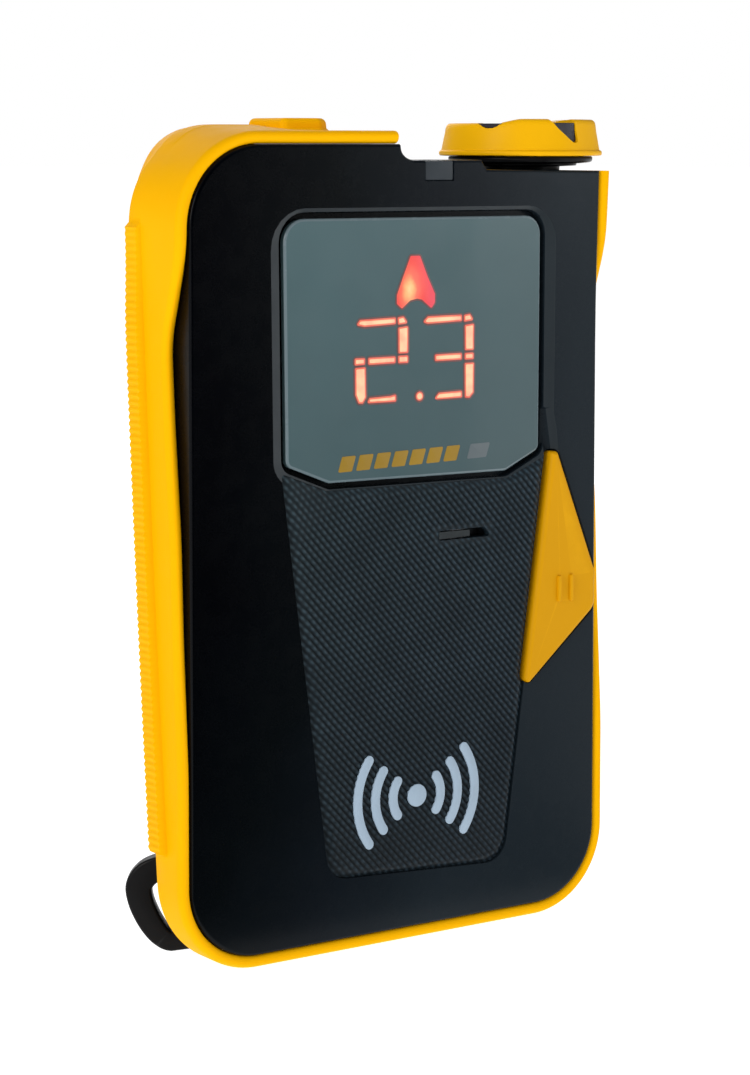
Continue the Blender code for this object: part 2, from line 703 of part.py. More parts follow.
# ------------------------------------------------------------------ power
tray = box("battery_tray", (-17.5, -5.7, 5.7), (17.5, 3.9, 55.6), "black")
cut(tray, box("cut_tray", (-16.5, -4.7, 7.0), (16.5, 9.0, 54.3), "black"))
for i, x in enumerate((-CELL_PITCH, 0.0, CELL_PITCH)):
    up = i != 1
    z0, z1 = CELL_Z, CELL_Z + CELL_L
    profile = ((4.8, z0), (CELL_R, z0 + 0.4), (CELL_R, z1 - 1.2), (4.7, z1 - 0.8), (1.9, z1 - 0.8), (1.9, z1))
    if not up:
        profile = tuple((r, z0 + z1 - z) for r, z in reversed(profile))
    turned(f"battery_{i + 1}", profile, "Z", (x, CELL_Y, 0), "cell", 18)
low, high = (7.35, 7.9), (53.0, 53.6)
y0, y1 = CELL_Y - 3.6, CELL_Y + 2.6
box("contact_bridge_upper", (-15.0, y0, high[0]), (3.6, y1, high[1]), "steel", 0.12)
box("contact_positive", (7.4, y0, high[0]), (14.9, y1, high[1]), "steel", 0.12)
box("contact_negative", (-15.0, y0, low[0]), (-7.4, y1, low[1]), "steel", 0.12)
box("contact_bridge_lower", (-3.6, y0, low[0]), (15.0, y1, low[1]), "steel", 0.12)

# ------------------------------------------------------------------ battery door, its seal and its screw
hinge = (0.0, back(DOOR_Z0), DOOR_Z0)
door_points = rounded(DOOR, 3)
door = prism("battery_door", door_points, lambda z: back(z) - DOOR_T, back, "black", origin=hinge)
cut(door, turned("cut_door_screw", ((1.9, 0.0), (1.9, 30.0)), "Y", (0, 0, DOOR_SCREW_Z), "black", 16),
    turned("cut_screw_head", ((3.7, back(DOOR_SCREW_Z) - 0.8), (3.7, 30.0)), "Y", (0, 0, DOOR_SCREW_Z), "black", 20))
screw_y = back(DOOR_SCREW_Z)
turned("door_screw", ((1.4, screw_y - 5.0), (1.4, screw_y - 0.5), (3.3, screw_y - 0.5), (3.3, screw_y + 0.1), (2.9, screw_y + 0.4)),
       "Y", (0, 0, DOOR_SCREW_Z), "steel", 20, origin=(0, screw_y, DOOR_SCREW_Z))
cut(bpy.data.objects["door_screw"],
    box("cut_coin_slot", (-2.6, screw_y - 0.1, DOOR_SCREW_Z - 0.4), (2.6, screw_y + 2, DOOR_SCREW_Z + 0.4), "steel"))
ring_out = rounded(((-DOOR_HALF + 0.5, DOOR_Z0 + 0.9, 0.8), (DOOR_HALF - 0.5, DOOR_Z0 + 0.9, 0.8),
                    (DOOR_HALF - 0.5, 53.6, 1.5), (-DOOR_HALF + 0.5, 53.6, 1.5)), 3)
frame_plate("door_gasket", ring_out, grown(ring_out, -1.0), lambda z: back(z) - DOOR_T - 0.9,
            lambda z: back(z) - DOOR_T - 0.15, "seal")

loop_solid("lanyard_loop", 0.0)

for i, (x, z) in enumerate(POSTS):
    y = back(z)
    turned(f"housing_screw_{i + 1}",
           ((0.75, y - 6.5), (0.75, y - 3.0), (1.1, y - 2.6), (1.1, y - 0.85), (2.2, y - 0.85), (2.2, y - 0.4), (1.6, y - 0.15)),
           "Y", (x, 0, z), "steel", 12)
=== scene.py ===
"""Avalanche transceiver: the finished surfaces, materials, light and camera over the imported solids.

Sizes here are millimetres in the row frame (x to the right of the face, -y out of the face, z up); MM turns them into metres.
"""

import math

import bmesh
import bpy
from mathutils import Matrix, Vector


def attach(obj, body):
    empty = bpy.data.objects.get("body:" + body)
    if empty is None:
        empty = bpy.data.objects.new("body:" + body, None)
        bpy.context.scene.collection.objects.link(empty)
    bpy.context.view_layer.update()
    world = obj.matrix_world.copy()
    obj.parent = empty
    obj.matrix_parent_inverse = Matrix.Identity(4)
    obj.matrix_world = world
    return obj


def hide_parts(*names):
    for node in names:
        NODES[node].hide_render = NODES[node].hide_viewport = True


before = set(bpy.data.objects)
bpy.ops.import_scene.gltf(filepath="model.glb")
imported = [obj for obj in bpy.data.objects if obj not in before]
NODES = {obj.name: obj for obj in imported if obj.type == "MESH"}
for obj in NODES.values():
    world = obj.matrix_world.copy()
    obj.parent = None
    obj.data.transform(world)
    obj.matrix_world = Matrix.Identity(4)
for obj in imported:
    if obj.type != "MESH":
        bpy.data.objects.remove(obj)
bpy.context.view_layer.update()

MM = 0.001
GAP = 0.3

# the housing's own sizes, as in the solids
FACE_Y = -13.0
HALF_TOP, HALF_BOTTOM = 34.0, 34.5
COVER_FOOT, COVER_TOP = 1.8, 111.5
R_TOP, R_FOOT = 11.0, 10.5
STEP_X, STEP_Z = -0.8, 109.3
SHELF_X, SHELF_Z, CORNER_Z = 13.4, 108.0, 107.7
OUTLINE_H = COVER_TOP - COVER_FOOT
PLATE_BACK, FRONT_END, REAR_START, WALL = -10.4, -7.9, -6.9, 1.8
HULL_SLOPE = 0.7
BUMPER, STRIP, CROWN = 1.8, 3.0, 0.8
STRIP_FOOT, STRIP_TOP = 16.5, 101.0
DIP = ((112.0, 0.0), (99.8, 0.0), (97.2, 0.2), (91.3, 1.95), (85.8, 3.8), (75.4, 3.1),
       (59.6, 1.6), (46.2, 1.1), (38.2, 0.6), (28.0, 0.0), (-5.0, 0.0))
LENS = ((-19.2, 101.6, 3.2), (-18.9, 68.5, 1.2), (-12.0, 65.8, 1.2), (18.1, 65.6, 1.2),
        (24.05, 68.35, 1.2), (24.1, 101.5, 2.6))
WINDOW = (-15.5, 20.5, 69.5, 98.0)
GRIP = ((-19.9, 67.6, 0.4), (-12.3, 10.6, 3.6), (18.0, 9.0, 3.6), (25.6, 67.5, 0.4),
        (18.4, 64.55, 0.8), (-12.4, 64.75, 0.8))
BUTTON = ((25.8, 67.9, 0.5), (21.15, 33.9, 0.6), (34.0, 44.85, 2.2), (34.0, 50.1, 2.2), (26.9, 67.9, 0.5))
SLOT = (6.2, 15.0, 56.5, 57.9)
STATUS = (3.7, 8.5, 106.5, 108.9)
KNOB_X, KNOB_Y, KNOB_FOOT, KNOB_TOP = 28.1, -2.5, 109.8, 114.4
KNOB_R, KNOB_R_TOP = 11.75, 10.6
NOTCHES = (208.0, 270.0)
SHAFT_R = 2.3
POSTS = ((-19.9, 9.0), (19.9, 9.0), (-20.0, 99.5), (14.0, 100.5))
DOOR_HALF, DOOR_Z0, DOOR_Z1, DOOR_T = 16.6, 5.4, 60.0, 1.6
DOOR = ((-DOOR_HALF, DOOR_Z0, 0.8), (DOOR_HALF, DOOR_Z0, 0.8), (DOOR_HALF, 54.0, 2.0),
        (6.0, DOOR_Z1, 2.0), (-6.0, DOOR_Z1, 2.0), (-DOOR_HALF, 54.0, 2.0))
DOOR_SCREW_Z = 56.5


# ------------------------------------------------------------------ shapes
def back(z):
    return 8.0 + 0.053 * z


def widest(z):
    return -8.1 + 0.099 * z - 0.00021 * z * z


def cover_turn(z):
    return -6.4 + 0.058 * z


def smoothstep(t):
    t = max(0.0, min(1.0, t))
    return t * t * (3 - 2 * t)


def flare(obj):
    """The housing's right edge leans out a little towards the knob."""
    for v in obj.data.vertices:
        x, z = v.co.x / MM, v.co.z / MM
        if x > 26.0 and z > 84.0:
            share = min(1.0, (x - 26.0) / 8.0)
            rise = (z - 84.0) / 24.0
            v.co.x += MM * share * (0.5 + 0.32 * smoothstep((x - 34.2) / 1.2)) * min(1.2, rise) ** 1.5


def lookup(table, z):
    for (z1, v1), (z0, v0) in zip(table, table[1:]):
        if z0 <= z <= z1:
            return v0 + (v1 - v0) * (z - z0) / (z1 - z0)
    return table[-1][1]


def half_width(z):
    return HALF_TOP + (HALF_BOTTOM - HALF_TOP) * max(0.0, (CORNER_Z - z) / (CORNER_Z - COVER_FOOT))


def arc(cx, cz, radius, a0, a1, steps):
    return [(cx + radius * math.cos(math.radians(a0 + (a1 - a0) * k / steps)),
             cz + radius * math.sin(math.radians(a0 + (a1 - a0) * k / steps))) for k in range(steps + 1)]


def rounded(corners, steps):
    """Corners (x, z, radius) with each one filleted in steps pieces."""
    out = []
    count = len(corners)
    for i, (x, z, radius) in enumerate(corners):
        here = Vector((x, z))
        before = (Vector(corners[i - 1][:2]) - here).normalized()
        after = (Vector(corners[(i + 1) % count][:2]) - here).normalized()
        half = before.angle(after) / 2
        reach = radius / math.tan(half)
        centre = here + (before + after).normalized() * (radius / math.sin(half))
        start, end = here + before * reach, here + after * reach
        a0, a1 = start - centre, end - centre
        turn = math.atan2(a0.x * a1.y - a0.y * a1.x, a0.dot(a1))
        for k in range(steps + 1):
            t = turn * k / steps
            out.append((centre.x + a0.x * math.cos(t) - a0.y * math.sin(t),
                        centre.y + a0.x * math.sin(t) + a0.y * math.cos(t)))
    return out


def grown(points, by):
    """An anticlockwise polygon moved outward along mitred normals."""
    out = []
    count = len(points)
    for i, (x, z) in enumerate(points):
        (ax, az), (bx, bz) = points[i - 1], points[(i + 1) % count]
        e1, e2 = Vector((x - ax, z - az)), Vector((bx - x, bz - z))
        e1.normalize()
        e2.normalize()
        n1, n2 = Vector((e1.y, -e1.x)), Vector((e2.y, -e2.x))
        mitre = (n1 + n2) / max(0.35, 1 + n1.dot(n2))
        out.append((x + mitre.x * by, z + mitre.y * by))
    return out


def grow_corners(corners, by):
    """Filleted corners grown outward: the corner moves along its mitre and its radius grows with it."""
    moved = grown([(x, z) for x, z, _ in corners], by)
    out = []
    count = len(corners)
    for i, ((x, z), (cx, cz, r)) in enumerate(zip(moved, corners)):
        a, b = corners[i - 1], corners[(i + 1) % count]
        turn = (cx - a[0]) * (b[1] - cz) - (cz - a[1]) * (b[0] - cx)
        out.append((x, z, max(0.12, r + by if turn > 0 else r - by)))
    return out


def along(path, step):
    """Straight runs of a path cut into pieces no longer than step."""
    out = [path[0]]
    for a, b in zip(path, path[1:]):
        n = max(1, math.ceil(math.dist(a, b) / step - 1e-6))
        out += [tuple(p + (q - p) * k / n for p, q in zip(a, b)) for k in range(1, n + 1)]
    return out


def band_path(steps=28):
    foot_c, top_c = COVER_FOOT + R_FOOT, COVER_TOP - R_TOP
    path = [(STEP_X, COVER_TOP)]
    path += arc(-HALF_TOP + R_TOP, top_c, R_TOP, 90, 180, steps)
    path += arc(-HALF_BOTTOM + R_FOOT, foot_c, R_FOOT, 180, 270, steps)
    path += arc(HALF_BOTTOM - R_FOOT, foot_c, R_FOOT, 270, 360, steps)
    path += [(half_width(100.5), 100.5), (half_width(CORNER_Z), CORNER_Z)]
    return path


def shelf_path(steps=10):
    fillet = [(STEP_X + 0.3 + 2.6 * (1 - math.cos(a)), STEP_Z + 2.2 * (1 - math.sin(a)))
              for a in (math.pi / 2 * k / steps for k in range(steps, -1, -1))]
    return [(SHELF_X + 0.9, SHELF_Z), (SHELF_X, STEP_Z)] + fillet


def inset(points, side, foot, top):
    out = []
    for x, z in points:
        hw = half_width(z)
        out.append((x * (hw - side) / hw, COVER_FOOT + foot + (z - COVER_FOOT) * (OUTLINE_H - foot - top) / OUTLINE_H))
    return out


OUTLINE = along(band_path(20), 6.0) + shelf_path()


def loft(bm, rings, closed=True, caps=True, loop=False):
    """Skins rings of points with quads. loop joins the last ring to the first."""
    rows = [[bm.verts.new(p) for p in ring] for ring in rings]
    count = len(rings[0])
    last = count if closed else count - 1
    pairs = list(zip(rows, rows[1:])) + ([(rows[-1], rows[0])] if loop else [])
    for low, high in pairs:
        for i in range(last):
            j = (i + 1) % count
            bm.faces.new((low[i], low[j], high[j], high[i]))
    if caps and not loop:
        bm.faces.new(rows[0])
        bm.faces.new(rows[-1])
    return rows


def solid(name, bm, weld=1e-4):
    """A bmesh in millimetres made into an object in metres, facing out."""
    if weld:
        bmesh.ops.remove_doubles(bm, verts=bm.verts, dist=weld)
    bmesh.ops.recalc_face_normals(bm, faces=bm.faces)
    mesh = bpy.data.meshes.new(name)
    bm.to_mesh(mesh)
    bm.free()
    mesh.transform(Matrix.Scale(MM, 4))
    obj = bpy.data.objects.new(name, mesh)
    bpy.context.scene.collection.objects.link(obj)
    return obj


def stack(name, stages):
    """A plate lofted through (outline points, y) stages. A depth may be a function of z."""
    bm = bmesh.new()
    rings = []
    for points, y in stages:
        f = y if callable(y) else (lambda z, y=y: y)
        rings.append([(x, f(z), z) for x, z in points])
    loft(bm, rings)
    return solid(name, bm)


def round_in(corners, steps, y0, y1, r, parts=5, grow0=0.0):
    """Stages for a plate from y0 (outer, rounded edge of radius r) back to y1."""
    out = []
    for k in range(parts + 1):
        a = math.pi / 2 * k / parts
        out.append((rounded(grow_corners(corners, grow0 - r * (1 - math.sin(a))), steps), y0 + r * (1 - math.cos(a))))
    out.append((rounded(grow_corners(corners, grow0), steps), y1))
    return out


def box(name, low, high, r=0.0, seg=3):
    bm = bmesh.new()
    middle = [(h + l) / 2 for l, h in zip(low, high)]
    size = [h - l for l, h in zip(low, high)]
    bmesh.ops.create_cube(bm, size=1.0, matrix=Matrix.Translation(middle) @ Matrix.Diagonal((*size, 1.0)))
    if r:
        bmesh.ops.bevel(bm, geom=bm.edges[:], offset=r, segments=seg, affect="EDGES", profile=0.5)
    return solid(name, bm)


AXES = {"X": Matrix.Rotation(math.pi / 2, 4, "Y"), "Y": Matrix.Rotation(-math.pi / 2, 4, "X"), "Z": Matrix.Identity(4)}


def turned(name, profile, axis, centre, count=96, hollow=False):
    """profile is (radius, height) from foot to top. A hollow piece's profile is a closed loop off the axis."""
    bm = bmesh.new()
    rings = [[(r * math.cos(2 * math.pi * k / count), r * math.sin(2 * math.pi * k / count), h) for k in range(count)]
             for r, h in profile]
    loft(bm, rings, loop=hollow)
    bmesh.ops.transform(bm, verts=bm.verts, matrix=Matrix.Translation(centre) @ AXES[axis])
    return solid(name, bm)


def apply_all(obj):
    """Puts the modifiers' result into the mesh, so that no cutter stays in the scene."""
    graph = bpy.context.evaluated_depsgraph_get()
    graph.update()
    mesh = bpy.data.meshes.new_from_object(obj.evaluated_get(graph), depsgraph=graph)
    obj.modifiers.clear()
    old = obj.data
    obj.data = mesh
    mesh.name = obj.name
    bpy.data.meshes.remove(old)


def boolean(obj, operation, tools):
    for tool in tools:
        mod = obj.modifiers.new("b", "BOOLEAN")
        mod.operation, mod.solver, mod.object = operation, "EXACT", tool
    apply_all(obj)
    for tool in tools:
        data = tool.data
        bpy.data.objects.remove(tool, do_unlink=True)
        bpy.data.meshes.remove(data)
    return obj


def cut(obj, *tools):
    return boolean(obj, "DIFFERENCE", tools)


def join(obj, *tools):
    return boolean(obj, "UNION", tools)


def dress(obj, mat, body, *nodes, slot=None, angle=30, bevel=0.0, seg=3, weighted=True):
    """Finishes a piece: its edge rounding, shading, material, body and the node it stands for."""
    mesh = obj.data
    mesh.materials.clear()
    mesh.materials.append(mat)
    for p in mesh.polygons:
        p.material_index = 0
    mesh.shade_smooth()
    mesh.set_sharp_from_angle(angle=math.radians(angle))
    if bevel:
        b = obj.modifiers.new("edges", "BEVEL")
        b.width, b.segments, b.limit_method, b.angle_limit = bevel * MM, seg, "ANGLE", math.radians(32)
        b.harden_normals = False
    if weighted:
        w = obj.modifiers.new("normals", "WEIGHTED_NORMAL")
        w.keep_sharp, w.weight = True, 60
    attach(obj, body)
    if nodes:
        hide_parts(*nodes)
    return obj


# ------------------------------------------------------------------ materials
def srgb(r, g, b):
    def one(c):
        c /= 255.0
        return c / 12.92 if c <= 0.04045 else ((c + 0.055) / 1.055) ** 2.4
    return (one(r), one(g), one(b), 1.0)


class Shader:
    """One material with its Principled shader and short calls for the nodes that feed it."""

    def __init__(self, name, colour, rough=0.4, metal=0.0, specular=0.5, coat=0.0, coat_rough=0.05):
        self.mat = bpy.data.materials.new(name)
        self.mat.use_nodes = True
        self.tree = self.mat.node_tree
        self.bsdf = self.tree.nodes["Principled BSDF"]
        self.colour = colour
        for key, value in (("Base Color", colour), ("Roughness", rough), ("Metallic", metal),
                           ("Specular IOR Level", specular), ("Coat Weight", coat), ("Coat Roughness", coat_rough)):
            self.bsdf.inputs[key].default_value = value
        self.coord = self.tree.nodes.new("ShaderNodeTexCoord")
        self.normal = None

    def node(self, kind, inputs=None, **settings):
        n = self.tree.nodes.new("ShaderNode" + kind)
        for key, value in settings.items():
            setattr(n, key, value)
        for key, value in (inputs or {}).items():
            if isinstance(value, bpy.types.NodeSocket):
                self.tree.links.new(value, n.inputs[key])
            else:
                n.inputs[key].default_value = value
        return n

    def place(self, scale=(1000.0, 1000.0, 1000.0), turn=(0.0, 0.0, 0.0)):
        """The object's own millimetres."""
        return self.node("Mapping", {"Vector": self.coord.outputs["Object"], "Rotation": turn, "Scale": scale}).outputs[0]

    def noise(self, size, detail=3.0, rough=0.55, scale=(1000.0,) * 3):
        """Noise whose features are about size millimetres."""
        return self.node("TexNoise", {"Vector": self.place(scale), "Scale": 1.0 / size, "Detail": detail, "Roughness": rough}).outputs["Fac"]

    def ramp(self, fac, stops):
        n = self.node("ValToRGB", {"Fac": fac})
        ramp = n.color_ramp
        while len(ramp.elements) < len(stops):
            ramp.elements.new(0.5)
        for e, (at, colour) in zip(ramp.elements, stops):
            e.position, e.color = at, colour
        return n.outputs["Color"]

    def range(self, value, a, b, c, d):
        return self.node("MapRange", {"Value": value, "From Min": a, "From Max": b, "To Min": c, "To Max": d}).outputs["Result"]

    def math(self, operation, a, b=0.0):
        n = self.tree.nodes.new("ShaderNodeMath")
        n.operation = operation
        for socket, value in zip(n.inputs, (a, b)):
            if isinstance(value, bpy.types.NodeSocket):
                self.tree.links.new(value, socket)
            else:
                socket.default_value = value
        return n.outputs[0]

    def mix(self, fac, a, b, blend="MIX"):
        n = self.tree.nodes.new("ShaderNodeMix")
        n.data_type, n.blend_type = "RGBA", blend
        for socket, value in ((n.inputs[0], fac), (n.inputs[6], a), (n.inputs[7], b)):
            if isinstance(value, bpy.types.NodeSocket):
                self.tree.links.new(value, socket)
            else:
                socket.default_value = value
        return n.outputs[2]

    def axis(self, letter):
        n = self.node("SeparateXYZ", {"Vector": self.place()})
        return n.outputs[letter]

    def set(self, key, value):
        self.tree.links.new(value, self.bsdf.inputs[key])

    def bump(self, height, depth, strength=1.0):
        """Adds height (0..1) as relief depth millimetres deep."""
        n = self.node("Bump", {"Height": height, "Distance": depth * MM, "Strength": strength})
        if self.normal is not None:
            self.tree.links.new(self.normal, n.inputs["Normal"])
        self.normal = n.outputs["Normal"]
        self.set("Normal", self.normal)

    def wear_and_sheen(self, colour, amount=0.25, light=(1.0, 1.0, 1.0, 1.0)):
        """Edges rubbed a little lighter."""
        geo = self.node("NewGeometry")
        edge = self.range(geo.outputs["Pointiness"], 0.515, 0.60, 0.0, amount)
        patch = self.range(self.noise(2.5, 4.0), 0.35, 0.65, 0.3, 1.0)
        return self.mix(self.math("MULTIPLY", edge, patch), colour, light)


def shade(c, by):
    return (min(1.0, c[0] * by), min(1.0, c[1] * by), min(1.0, c[2] * by), 1.0)


def moulded(name, colour, rough=0.4, grain=0.22, depth=0.006, vary=0.05, specular=0.5, coat=0.0, edge=0.2, edge_colour=None, spread=0.06):
    """Moulded plastic or rubber: a fine spark-eroded grain, cloudy tone and slightly rubbed edges."""
    s = Shader(name, colour, rough, specular=specular, coat=coat)
    cloud = s.noise(14.0, 4.0)
    tone = s.ramp(cloud, ((0.3, shade(colour, 1 - vary)), (0.7, shade(colour, 1 + vary))))
    s.set("Base Color", s.wear_and_sheen(tone, edge, edge_colour or shade(colour, 1.6)))
    fine = s.noise(grain, 2.0)
    wide = s.noise(3.0, 3.0)
    s.set("Roughness", s.math("ADD", s.range(wide, 0.3, 0.7, rough - spread, rough + spread), s.range(fine, 0.3, 0.7, -0.02, 0.02)))
    s.bump(fine, depth)
    return s


YELLOW = srgb(248, 180, 0)
yellow = moulded("bumper_yellow_rubber", YELLOW, 0.55, 0.16, 0.006, 0.02, specular=0.03, edge=0.12, edge_colour=srgb(255, 200, 12)).mat
knob_yellow = moulded("knob_yellow_plastic", srgb(234, 174, 0), 0.46, 0.18, 0.004, 0.02, specular=0.09, edge=0.12, edge_colour=srgb(255, 205, 30)).mat
button_yellow = moulded("button_yellow_plastic", srgb(210, 150, 1), 0.48, 0.14, 0.004, 0.02, specular=0.09, edge=0.15, edge_colour=srgb(255, 195, 25)).mat
# the bezel's slope: a satin finish whose paler colour is a painted sheen
bezel_satin_painted_sheen = moulded("bezel_satin_plastic", srgb(36, 44, 49), 0.42, 0.16, 0.003, 0.06, specular=0.35, edge=0.1, edge_colour=srgb(60, 68, 74)).mat
pane_dark = moulded("pane_dark_plastic", srgb(30, 28, 40), 0.3, 0.2, 0.002, 0.1, specular=0.3, edge=0.0).mat


def face_material():
    """Polished black plastic with a painted reflection: its blue-black colour is painted darker towards the left edge
    and the top, and paler towards the right and the foot.
    """
    s = moulded("cover_black_plastic", srgb(10, 14, 19), 0.27, 0.12, 0.0008, 0.06, specular=0.10, edge=0.1, edge_colour=srgb(52, 58, 66), spread=0.03)
    # painted reflection: the colour follows x and z, paler to the right and towards the foot
    across = s.math("ADD", s.range(s.axis("X"), -34.0, 34.0, 0.0, 1.0), s.range(s.noise(16.0, 3.0), 0.3, 0.7, -0.04, 0.04))
    across = s.math("ADD", across, s.range(s.axis("Z"), 4.0, 52.0, 0.36, 0.0))
    s.set("Base Color", s.ramp(across, ((0.05, srgb(0, 1, 4)), (0.35, srgb(5, 9, 12)), (0.65, srgb(15, 21, 27)), (0.95, srgb(27, 35, 41)))))
    return s.mat


black_face_painted_reflection = face_material()
black_back = moulded("cover_black_textured", srgb(22, 24, 28), 0.48, 0.35, 0.010, 0.08, specular=0.35, edge=0.18, edge_colour=srgb(52, 56, 62)).mat
black_loop = moulded("loop_black_plastic", srgb(10, 10, 11), 0.34, 0.25, 0.004, 0.08, specular=0.11, edge=0.25, edge_colour=srgb(70, 72, 76)).mat
insert_black = moulded("insert_dark_plastic", srgb(38, 42, 48), 0.42, 0.2, 0.004, 0.06, specular=0.4, edge=0.3, edge_colour=srgb(80, 86, 94)).mat


def grip_material():
    """Dark rubber with painted light: a painted highlight on the ridge tops, painted shade in the valleys between them,
    painted shade towards the foot and painted light towards the left.
    """
    turn = math.radians(47.0)
    s = Shader("grip_dark_rubber", srgb(36, 44, 48), 0.55, specular=0.22)
    x, z = s.axis("X"), s.axis("Z")
    u = s.math("ADD", s.math("MULTIPLY", x, math.sin(turn) / 0.80), s.math("MULTIPLY", z, math.cos(turn) / 0.80))
    crest = s.math("SUBTRACT", 1.0, s.math("ABSOLUTE", s.math("SUBTRACT", s.math("MULTIPLY", s.math("FRACT", u), 2.0), 1.0)))
    v = s.math("ADD", s.math("MULTIPLY", x, math.cos(turn) / 1.10), s.math("MULTIPLY", z, -math.sin(turn) / 1.10))
    beat = s.math("ABSOLUTE", s.math("SUBTRACT", s.math("MULTIPLY", s.math("FRACT", s.math("ADD", v, s.math("MULTIPLY", s.math("FLOOR", u), 0.5))), 2.0), 1.0))
    both = s.math("MULTIPLY", crest, s.range(beat, 0.0, 1.0, 1.0, 0.42))
    # the ridge pattern with random patches; its pale ridge tops are a painted highlight and its dark valleys a painted
    # shade
    wear_and_sheen = s.math("MULTIPLY", both, s.range(s.noise(6.0, 4.0), 0.3, 0.7, 0.75, 1.1))
    tone = s.ramp(wear_and_sheen, ((0.08, srgb(19, 29, 34)), (0.42, srgb(35, 48, 55)), (0.85, srgb(56, 73, 82))))
    # painted shade: the rubber is darker towards the foot
    depth = s.ramp(s.range(s.axis("Z"), 8.0, 66.0, 0.0, 1.0), ((0.0, (0.62, 0.64, 0.68, 1)), (0.5, (0.9, 0.92, 0.95, 1)), (1.0, (0.98, 1.0, 1.0, 1))))
    # painted light: the rubber is paler towards the left edge
    side = s.ramp(s.math("ADD", s.range(x, -24.0, 24.0, 0.0, 1.0), s.range(s.noise(11.0, 3.0), 0.3, 0.7, -0.06, 0.06)), ((0.0, (1.0, 1.0, 0.97, 1)), (0.3, (0.8, 0.83, 0.84, 1)), (1.0, (0.78, 0.82, 0.88, 1))))
    s.set("Base Color", s.mix(1.0, s.mix(1.0, tone, depth, "MULTIPLY"), side, "MULTIPLY"))
    s.set("Roughness", s.range(s.noise(2.5, 3.0), 0.3, 0.7, 0.48, 0.64))
    s.bump(s.noise(0.09, 2.0), 0.004)
    return s.mat


grip_dark = grip_material()
grip_edge = moulded("grip_smooth_rubber", srgb(27, 34, 36), 0.5, 0.10, 0.004, 0.05, specular=0.3, edge=0.2, edge_colour=srgb(70, 80, 86)).mat
seal_mat = moulded("seal_soft_rubber", srgb(24, 24, 26), 0.75, 0.3, 0.008, 0.1, specular=0.3).mat
tray_mat = moulded("tray_black_plastic", srgb(26, 28, 32), 0.5, 0.3, 0.008, 0.08, specular=0.35).mat
mark_amber = moulded("mark_amber_print", srgb(150, 118, 28), 0.42, 0.1, 0.0015, 0.08, specular=0.35, edge=0.0).mat
mark_grey = moulded("mark_grey_print", srgb(96, 106, 110), 0.42, 0.1, 0.0015, 0.06, specular=0.35, edge=0.0).mat
mark_pale = moulded("mark_pale_print", srgb(158, 178, 196), 0.5, 0.1, 0.002, 0.05, specular=0.35, edge=0.0).mat
deep_black = moulded("slot_black", srgb(5, 5, 6), 0.7, 0.2, 0.004, 0.1, specular=0.2, edge=0.0).mat


def lens_material():
    """Smoked display window under a clear hard coat: its blue-grey colour is painted darker towards the foot and the
    right, a painted shade.
    """
    s = Shader("lens_smoked_window", srgb(88, 106, 111), 0.2, specular=0.3, coat=0.15, coat_rough=0.04)
    # painted shade: the tone darkens towards the foot and the right
    z = s.range(s.axis("Z"), 66.0, 102.0, 0.0, 1.0)
    x = s.range(s.axis("X"), -19.0, 24.0, 0.0, 1.0)
    both = s.math("ADD", s.math("MULTIPLY", z, 0.55), s.math("MULTIPLY", s.math("SUBTRACT", 1.0, x), 0.45))
    tone = s.ramp(both, ((0.0, srgb(65, 85, 89)), (0.5, srgb(72, 93, 97)), (1.0, srgb(78, 101, 105))))
    haze = s.ramp(s.noise(9.0, 3.0), ((0.3, (0.97, 0.97, 0.97, 1)), (0.7, (1.03, 1.03, 1.03, 1))))
    s.set("Base Color", s.mix(1.0, tone, haze, "MULTIPLY"))
    s.set("Roughness", s.range(s.noise(5.0, 4.0), 0.3, 0.7, 0.17, 0.24))
    s.bump(s.noise(0.2, 2.0), 0.0006)
    return s.mat


lens_mat = lens_material()
# the lens's bevelled rim: a paler copy of the window colour, a painted highlight
rim_painted_highlight = moulded("lens_rim_edge", srgb(104, 120, 126), 0.24, 0.2, 0.001, 0.04, specular=0.5, edge=0.0).mat


def lit(name, centre, edge, strength, x_mid, z_mid, reach):
    """A lit segment: a pale hot middle that turns red at its rim."""
    s = Shader(name, edge, 0.4)
    s.set("Base Color", s.ramp(s.noise(0.6, 3.0), ((0.3, shade(edge, 0.10)), (0.7, shade(edge, 0.14)))))
    near = s.noise(2.2, 2.0)
    tone = s.ramp(near, ((0.25, edge), (0.6, centre)))
    s.set("Emission Color", tone)
    s.bsdf.inputs["Emission Strength"].default_value = strength
    return s.mat


led_core = lit("segment_core_light", srgb(255, 216, 168), srgb(255, 172, 140), 0.96, 0, 0, 1)
led_rim = lit("segment_rim_light", srgb(250, 128, 104), srgb(240, 96, 84), 0.85, 0, 0, 1)
led_halo = lit("segment_halo_light", srgb(124, 84, 82), srgb(112, 90, 90), 0.7, 0, 0, 1)


def arrow_material():
    """The lit arrow: red, with its lamp showing through as a soft pale spot at the lower left."""
    s = Shader("arrow_light", srgb(246, 80, 84), 0.4)
    s.set("Base Color", s.ramp(s.noise(0.6, 3.0), ((0.3, shade(srgb(240, 70, 58), 0.10)), (0.7, shade(srgb(240, 70, 58), 0.14)))))
    dx = s.math("SUBTRACT", s.axis("X"), 1.25)
    dz = s.math("MULTIPLY", s.math("SUBTRACT", s.axis("Z"), 91.75), 0.62)
    far = s.math("SQRT", s.math("ADD", s.math("MULTIPLY", dx, dx), s.math("MULTIPLY", dz, dz)))
    far = s.math("ADD", far, s.range(s.noise(1.2, 2.0), 0.3, 0.7, -0.15, 0.15))
    s.set("Emission Color", s.ramp(s.range(far, 0.0, 3.6, 0.0, 1.0), ((0.0, srgb(255, 226, 160)), (0.17, srgb(255, 196, 130)), (0.36, srgb(255, 122, 96)),
                                                                  (0.62, srgb(248, 92, 84)), (1.0, srgb(238, 74, 92)))))
    s.bsdf.inputs["Emission Strength"].default_value = 0.92
    return s.mat


